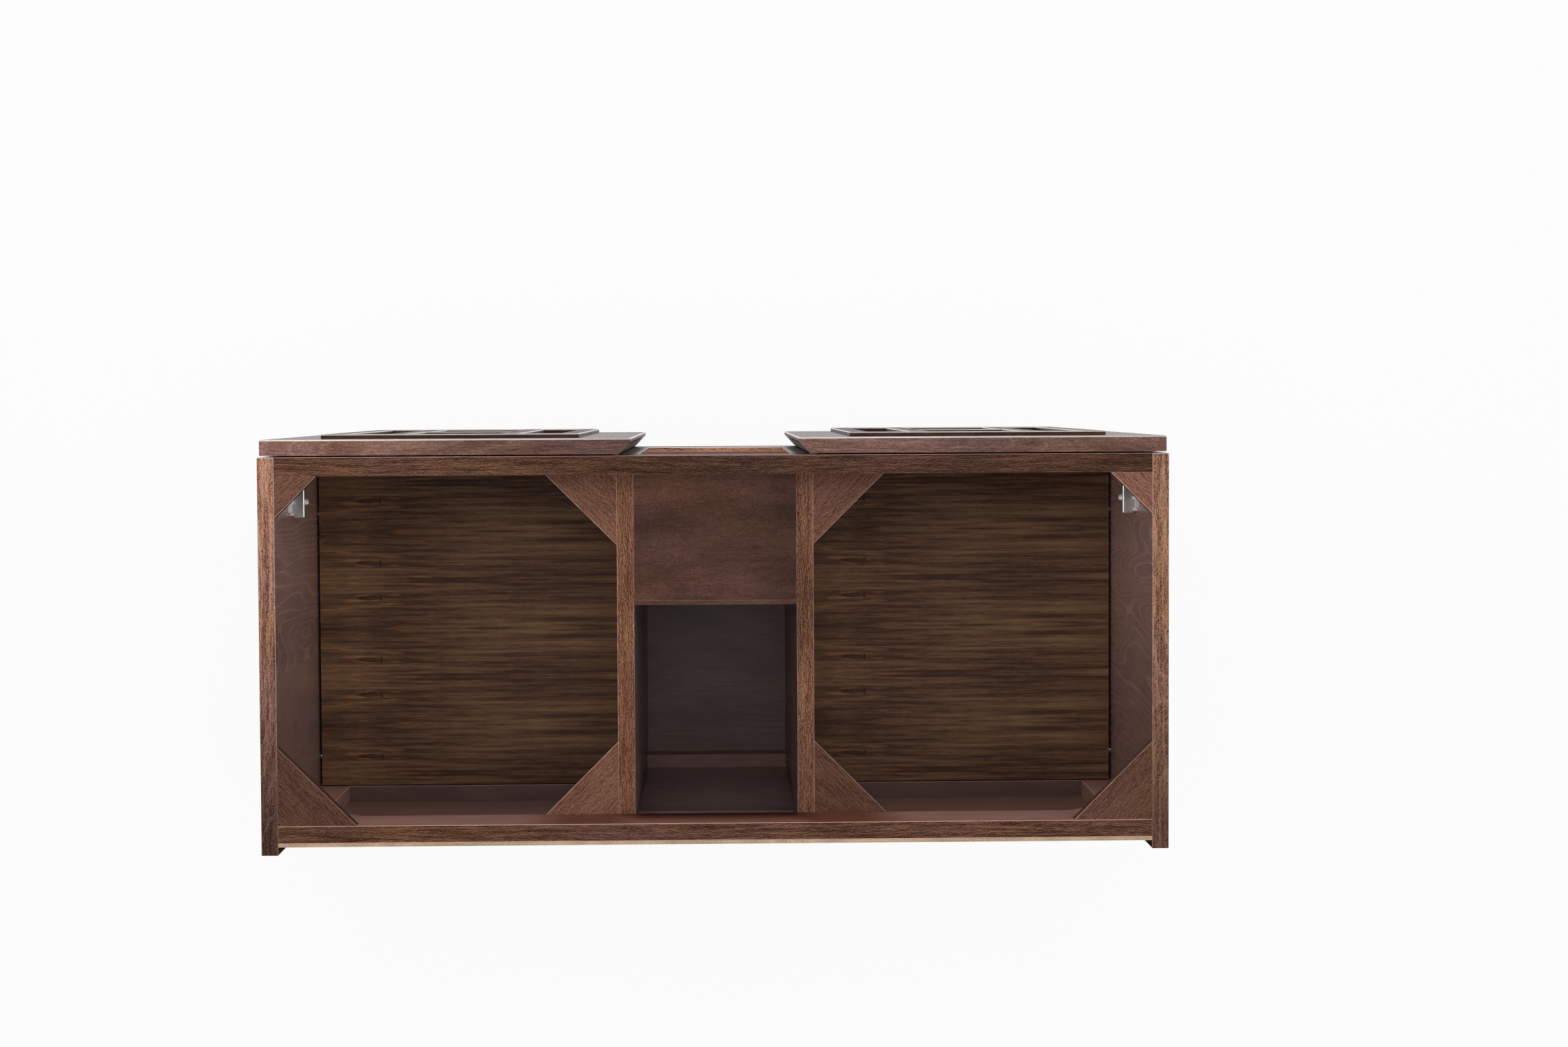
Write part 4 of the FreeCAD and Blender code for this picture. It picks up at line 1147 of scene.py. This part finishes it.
class VANITY_OT_gussets(bpy.types.Operator):
    """Corner gussets, with the grain along their long edge"""
    bl_idname = "vanity.gussets"
    bl_label = "Corner gussets"

    def execute(self, context):
        for row, row_sign in (("front", 1), ("back", -1)):
            for place, place_sign in (("outer", 1), ("inner", -1)):
                for side, side_sign in (("left", -1), ("right", 1)):
                    slope = Vector((row_sign * place_sign * side_sign, 1, 0)).normalized()
                    corner = f"{row}_{place}_{side}"
                    # Painted highlight along each gusset's sloping edge
                    board(f"gusset_{corner}", "Z", slope, "gusset", "gusset", tone=even_tone(GUSSET_TONES[corner]),
                          rim=slope_rim, arris=context.scene.vanity.easing.gusset)
        return {"FINISHED"}


class VANITY_OT_shelves(bpy.types.Operator):
    """Veneered shelves of the two bays and the pins that carry the shelves"""
    bl_idname = "vanity.shelves"
    bl_label = "Shelves"

    def execute(self, context):
        for side in SIDES:
            # Painted shade at the shelves' front and rear
            board(f"shelf_{side}", "Z", "X", "shelf_veneer", "niche", **top_turns("Y", SHELF_PAINTED_SHADE),
                  shift=Vector((-KNOT_X[side], -LEAF_SEAM_Y, 0)))
        for node in ("shelf_pins_left", "shelf_pins_right", "niche_shelf_pins"):
            dress(node, "nickel")
        return {"FINISHED"}


class VANITY_OT_doors(bpy.types.Operator):
    """Door slabs with their frets and bumpers"""
    bl_idname = "vanity.doors"
    bl_label = "Doors"

    def execute(self, context):
        for side in SIDES:
            # Painted light along the doors' upper edges and painted highlights along their rounded edges
            board(f"door_{side}", "Y", "Z", "door", "door_edge", **top_turns("X", DOOR_PAINTED_LIGHT[side]),
                  rim=lambda normal: "arris", paint=door_finish, front_only=True,
                  arris=context.scene.vanity.easing.door)
            fret(side)
            buttons(f"door_bumper_buttons_{side}", f"door_bumpers_{side}", AXES["Y"], "bumper_rubber")
        return {"FINISHED"}


class VANITY_OT_hinges(bpy.types.Operator):
    """Concealed hinges with their cups, arms, plates, pins and screws"""
    bl_idname = "vanity.hinges"
    bl_label = "Hinges"

    def execute(self, context):
        for side, inward in (("left", AXES["X"]), ("right", -AXES["X"])):
            hinge_piece(f"hinge_arms_{side}", context.scene.vanity.easing.fold)
            hinge_piece(f"hinge_plates_{side}", plating="satin_nickel")
            hinge_piece(f"hinge_cups_{side}")
            dress(f"hinge_pins_{side}", "nickel")
            hinge_screws("hinge_plate_screws", side, inward)
            hinge_screws("hinge_arm_screws", side, inward)
            hinge_screws("hinge_cup_screws", side, AXES["Y"])
        return {"FINISHED"}


class VANITY_OT_glides(bpy.types.Operator):
    """Glides under the side panels"""
    bl_idname = "vanity.glides"
    bl_label = "Floor glides"

    def execute(self, context):
        buttons("floor_glide_buttons", "floor_glides", -AXES["Z"], "glide_plastic")
        return {"FINISHED"}


class VANITY_OT_stage(bpy.types.Operator):
    """Pale floor, soft light and the view from above"""
    bl_idname = "vanity.stage"
    bl_label = "Stage"

    def execute(self, context):
        scene = context.scene
        stage = scene.vanity.stage
        scene.view_settings.view_transform = "Standard"
        self.lay_floor(stage)
        self.light_world(scene, stage)
        self.hang_lamps(stage)
        self.set_view(scene, stage)
        return {"FINISHED"}

    @staticmethod
    def seen_directly(tree):
        path = put(tree, "ShaderNodeLightPath").outputs
        seen = Wire(path["Is Camera Ray"]).calc("MAXIMUM", path["Is Glossy Ray"])
        return seen.calc("MAXIMUM", path["Is Transmission Ray"])

    def lay_floor(self, stage):
        half = stage.floor_half
        mesh = bpy.data.meshes.new("floor")
        mesh.from_pydata([(-half, -half, 0), (half, -half, 0), (half, half, 0), (-half, half, 0)], [], [(0, 1, 2, 3)])
        floor = link_piece("floor", mesh)
        material = bpy.data.materials.new("pale_floor")
        tree = empty_tree(material)
        matte = wire(tree, "ShaderNodeBsdfDiffuse", {"Color": (*stage.floor, 1.0)})
        glow = wire(tree, "ShaderNodeEmission", {"Color": (1, 1, 1, 1), "Strength": 1.0})
        mix = wire(tree, "ShaderNodeMixShader", {0: self.seen_directly(tree) * stage.glow, 1: matte, 2: glow})
        put(tree, "ShaderNodeOutputMaterial", {"Surface": mix})
        mesh.materials.append(material)

    def light_world(self, scene, stage):
        """White walls and a dark ceiling where they are seen or reflected, and an even fill."""
        world = bpy.data.worlds.new("studio")
        scene.world = world
        tree = empty_tree(world)
        upward = split(wire(tree, "ShaderNodeTexCoord", output="Generated"))[2]
        wall = remap(upward, 0.35, 0.85, 1.0, stage.ceiling)
        seen = self.seen_directly(tree)
        level = seen * wall + (seen * -stage.fill + stage.fill)
        back = wire(tree, "ShaderNodeBackground", {"Color": (1, 1, 1, 1), "Strength": level})
        put(tree, "ShaderNodeOutputWorld", {"Surface": back})

    def hang_lamps(self, stage):
        """Square soft lights that face the cabinet; reflections don't show the overhead one."""
        side = stage.side_power
        powers = {"overhead": stage.key_power, "left": side, "right": side, "front": FRONT_LAMP * side}
        for name, place in LAMP_PLACES.items():
            light = bpy.data.lights.new(f"{name}_light", "AREA")
            light.shape = "SQUARE"
            light.size = LAMP_SIZE
            light.energy = powers[name]
            lamp = link_piece(f"{name}_light", light)
            lamp.location = place
            lamp.rotation_euler = (LAMP_AIM - lamp.location).to_track_quat("-Z", "Y").to_euler()
            lamp.visible_camera = False
            lamp.visible_glossy = name != "overhead"

    def set_view(self, scene, stage):
        lens = bpy.data.cameras.new("view")
        lens.sensor_fit = "HORIZONTAL"
        lens.sensor_width = SENSOR_WIDTH
        lens.lens = stage.lens
        lens.clip_end = VIEW_REACH
        view = link_piece("view", lens)
        turn = Matrix.Identity(3)
        for angle, axis in zip(VIEW_TURNS, "ZYX"):
            turn = turn @ Matrix.Rotation(angle, 3, axis)
        right, down, ahead = turn @ Matrix(((-1, 0, 0), (0, 1, 0), (0, 0, -1)))
        view.matrix_world = Matrix.Translation(VIEW_PLACE) @ Matrix((right, -down, -ahead)).transposed().to_4x4()
        scene.camera = view


class VANITY_PT_sidebar(bpy.types.Panel):
    """Lists the cabinet's pieces and settings"""
    bl_idname = "VANITY_PT_sidebar"
    bl_label = "Vanity cabinet"
    bl_space_type = "VIEW_3D"
    bl_region_type = "UI"
    bl_category = "Vanity"

    def draw(self, context):
        settings = context.scene.vanity
        for group in (settings.stain, settings.easing, settings.stage):
            column = self.layout.box().column()
            for name in group.__annotations__:
                column.prop(group, name)
        for operator in OPERATORS:
            self.layout.operator(operator.bl_idname)


OPERATORS = (VANITY_OT_case, VANITY_OT_centre, VANITY_OT_back, VANITY_OT_gussets, VANITY_OT_shelves,
             VANITY_OT_doors, VANITY_OT_hinges, VANITY_OT_glides, VANITY_OT_stage)
CLASSES = (VanityStain, VanityEasing, VanityStage, VanitySettings) + OPERATORS + (VANITY_PT_sidebar,)


def register():
    for item in CLASSES:
        bpy.utils.register_class(item)
    bpy.types.Scene.vanity = PointerProperty(type=VanitySettings)


def unregister():
    del bpy.types.Scene.vanity
    for item in reversed(CLASSES):
        bpy.utils.unregister_class(item)


def main():
    register()
    for operator in OPERATORS:
        area, name = operator.bl_idname.split(".")
        getattr(getattr(bpy.ops, area), name)()


if __name__ == "__main__":
    main()
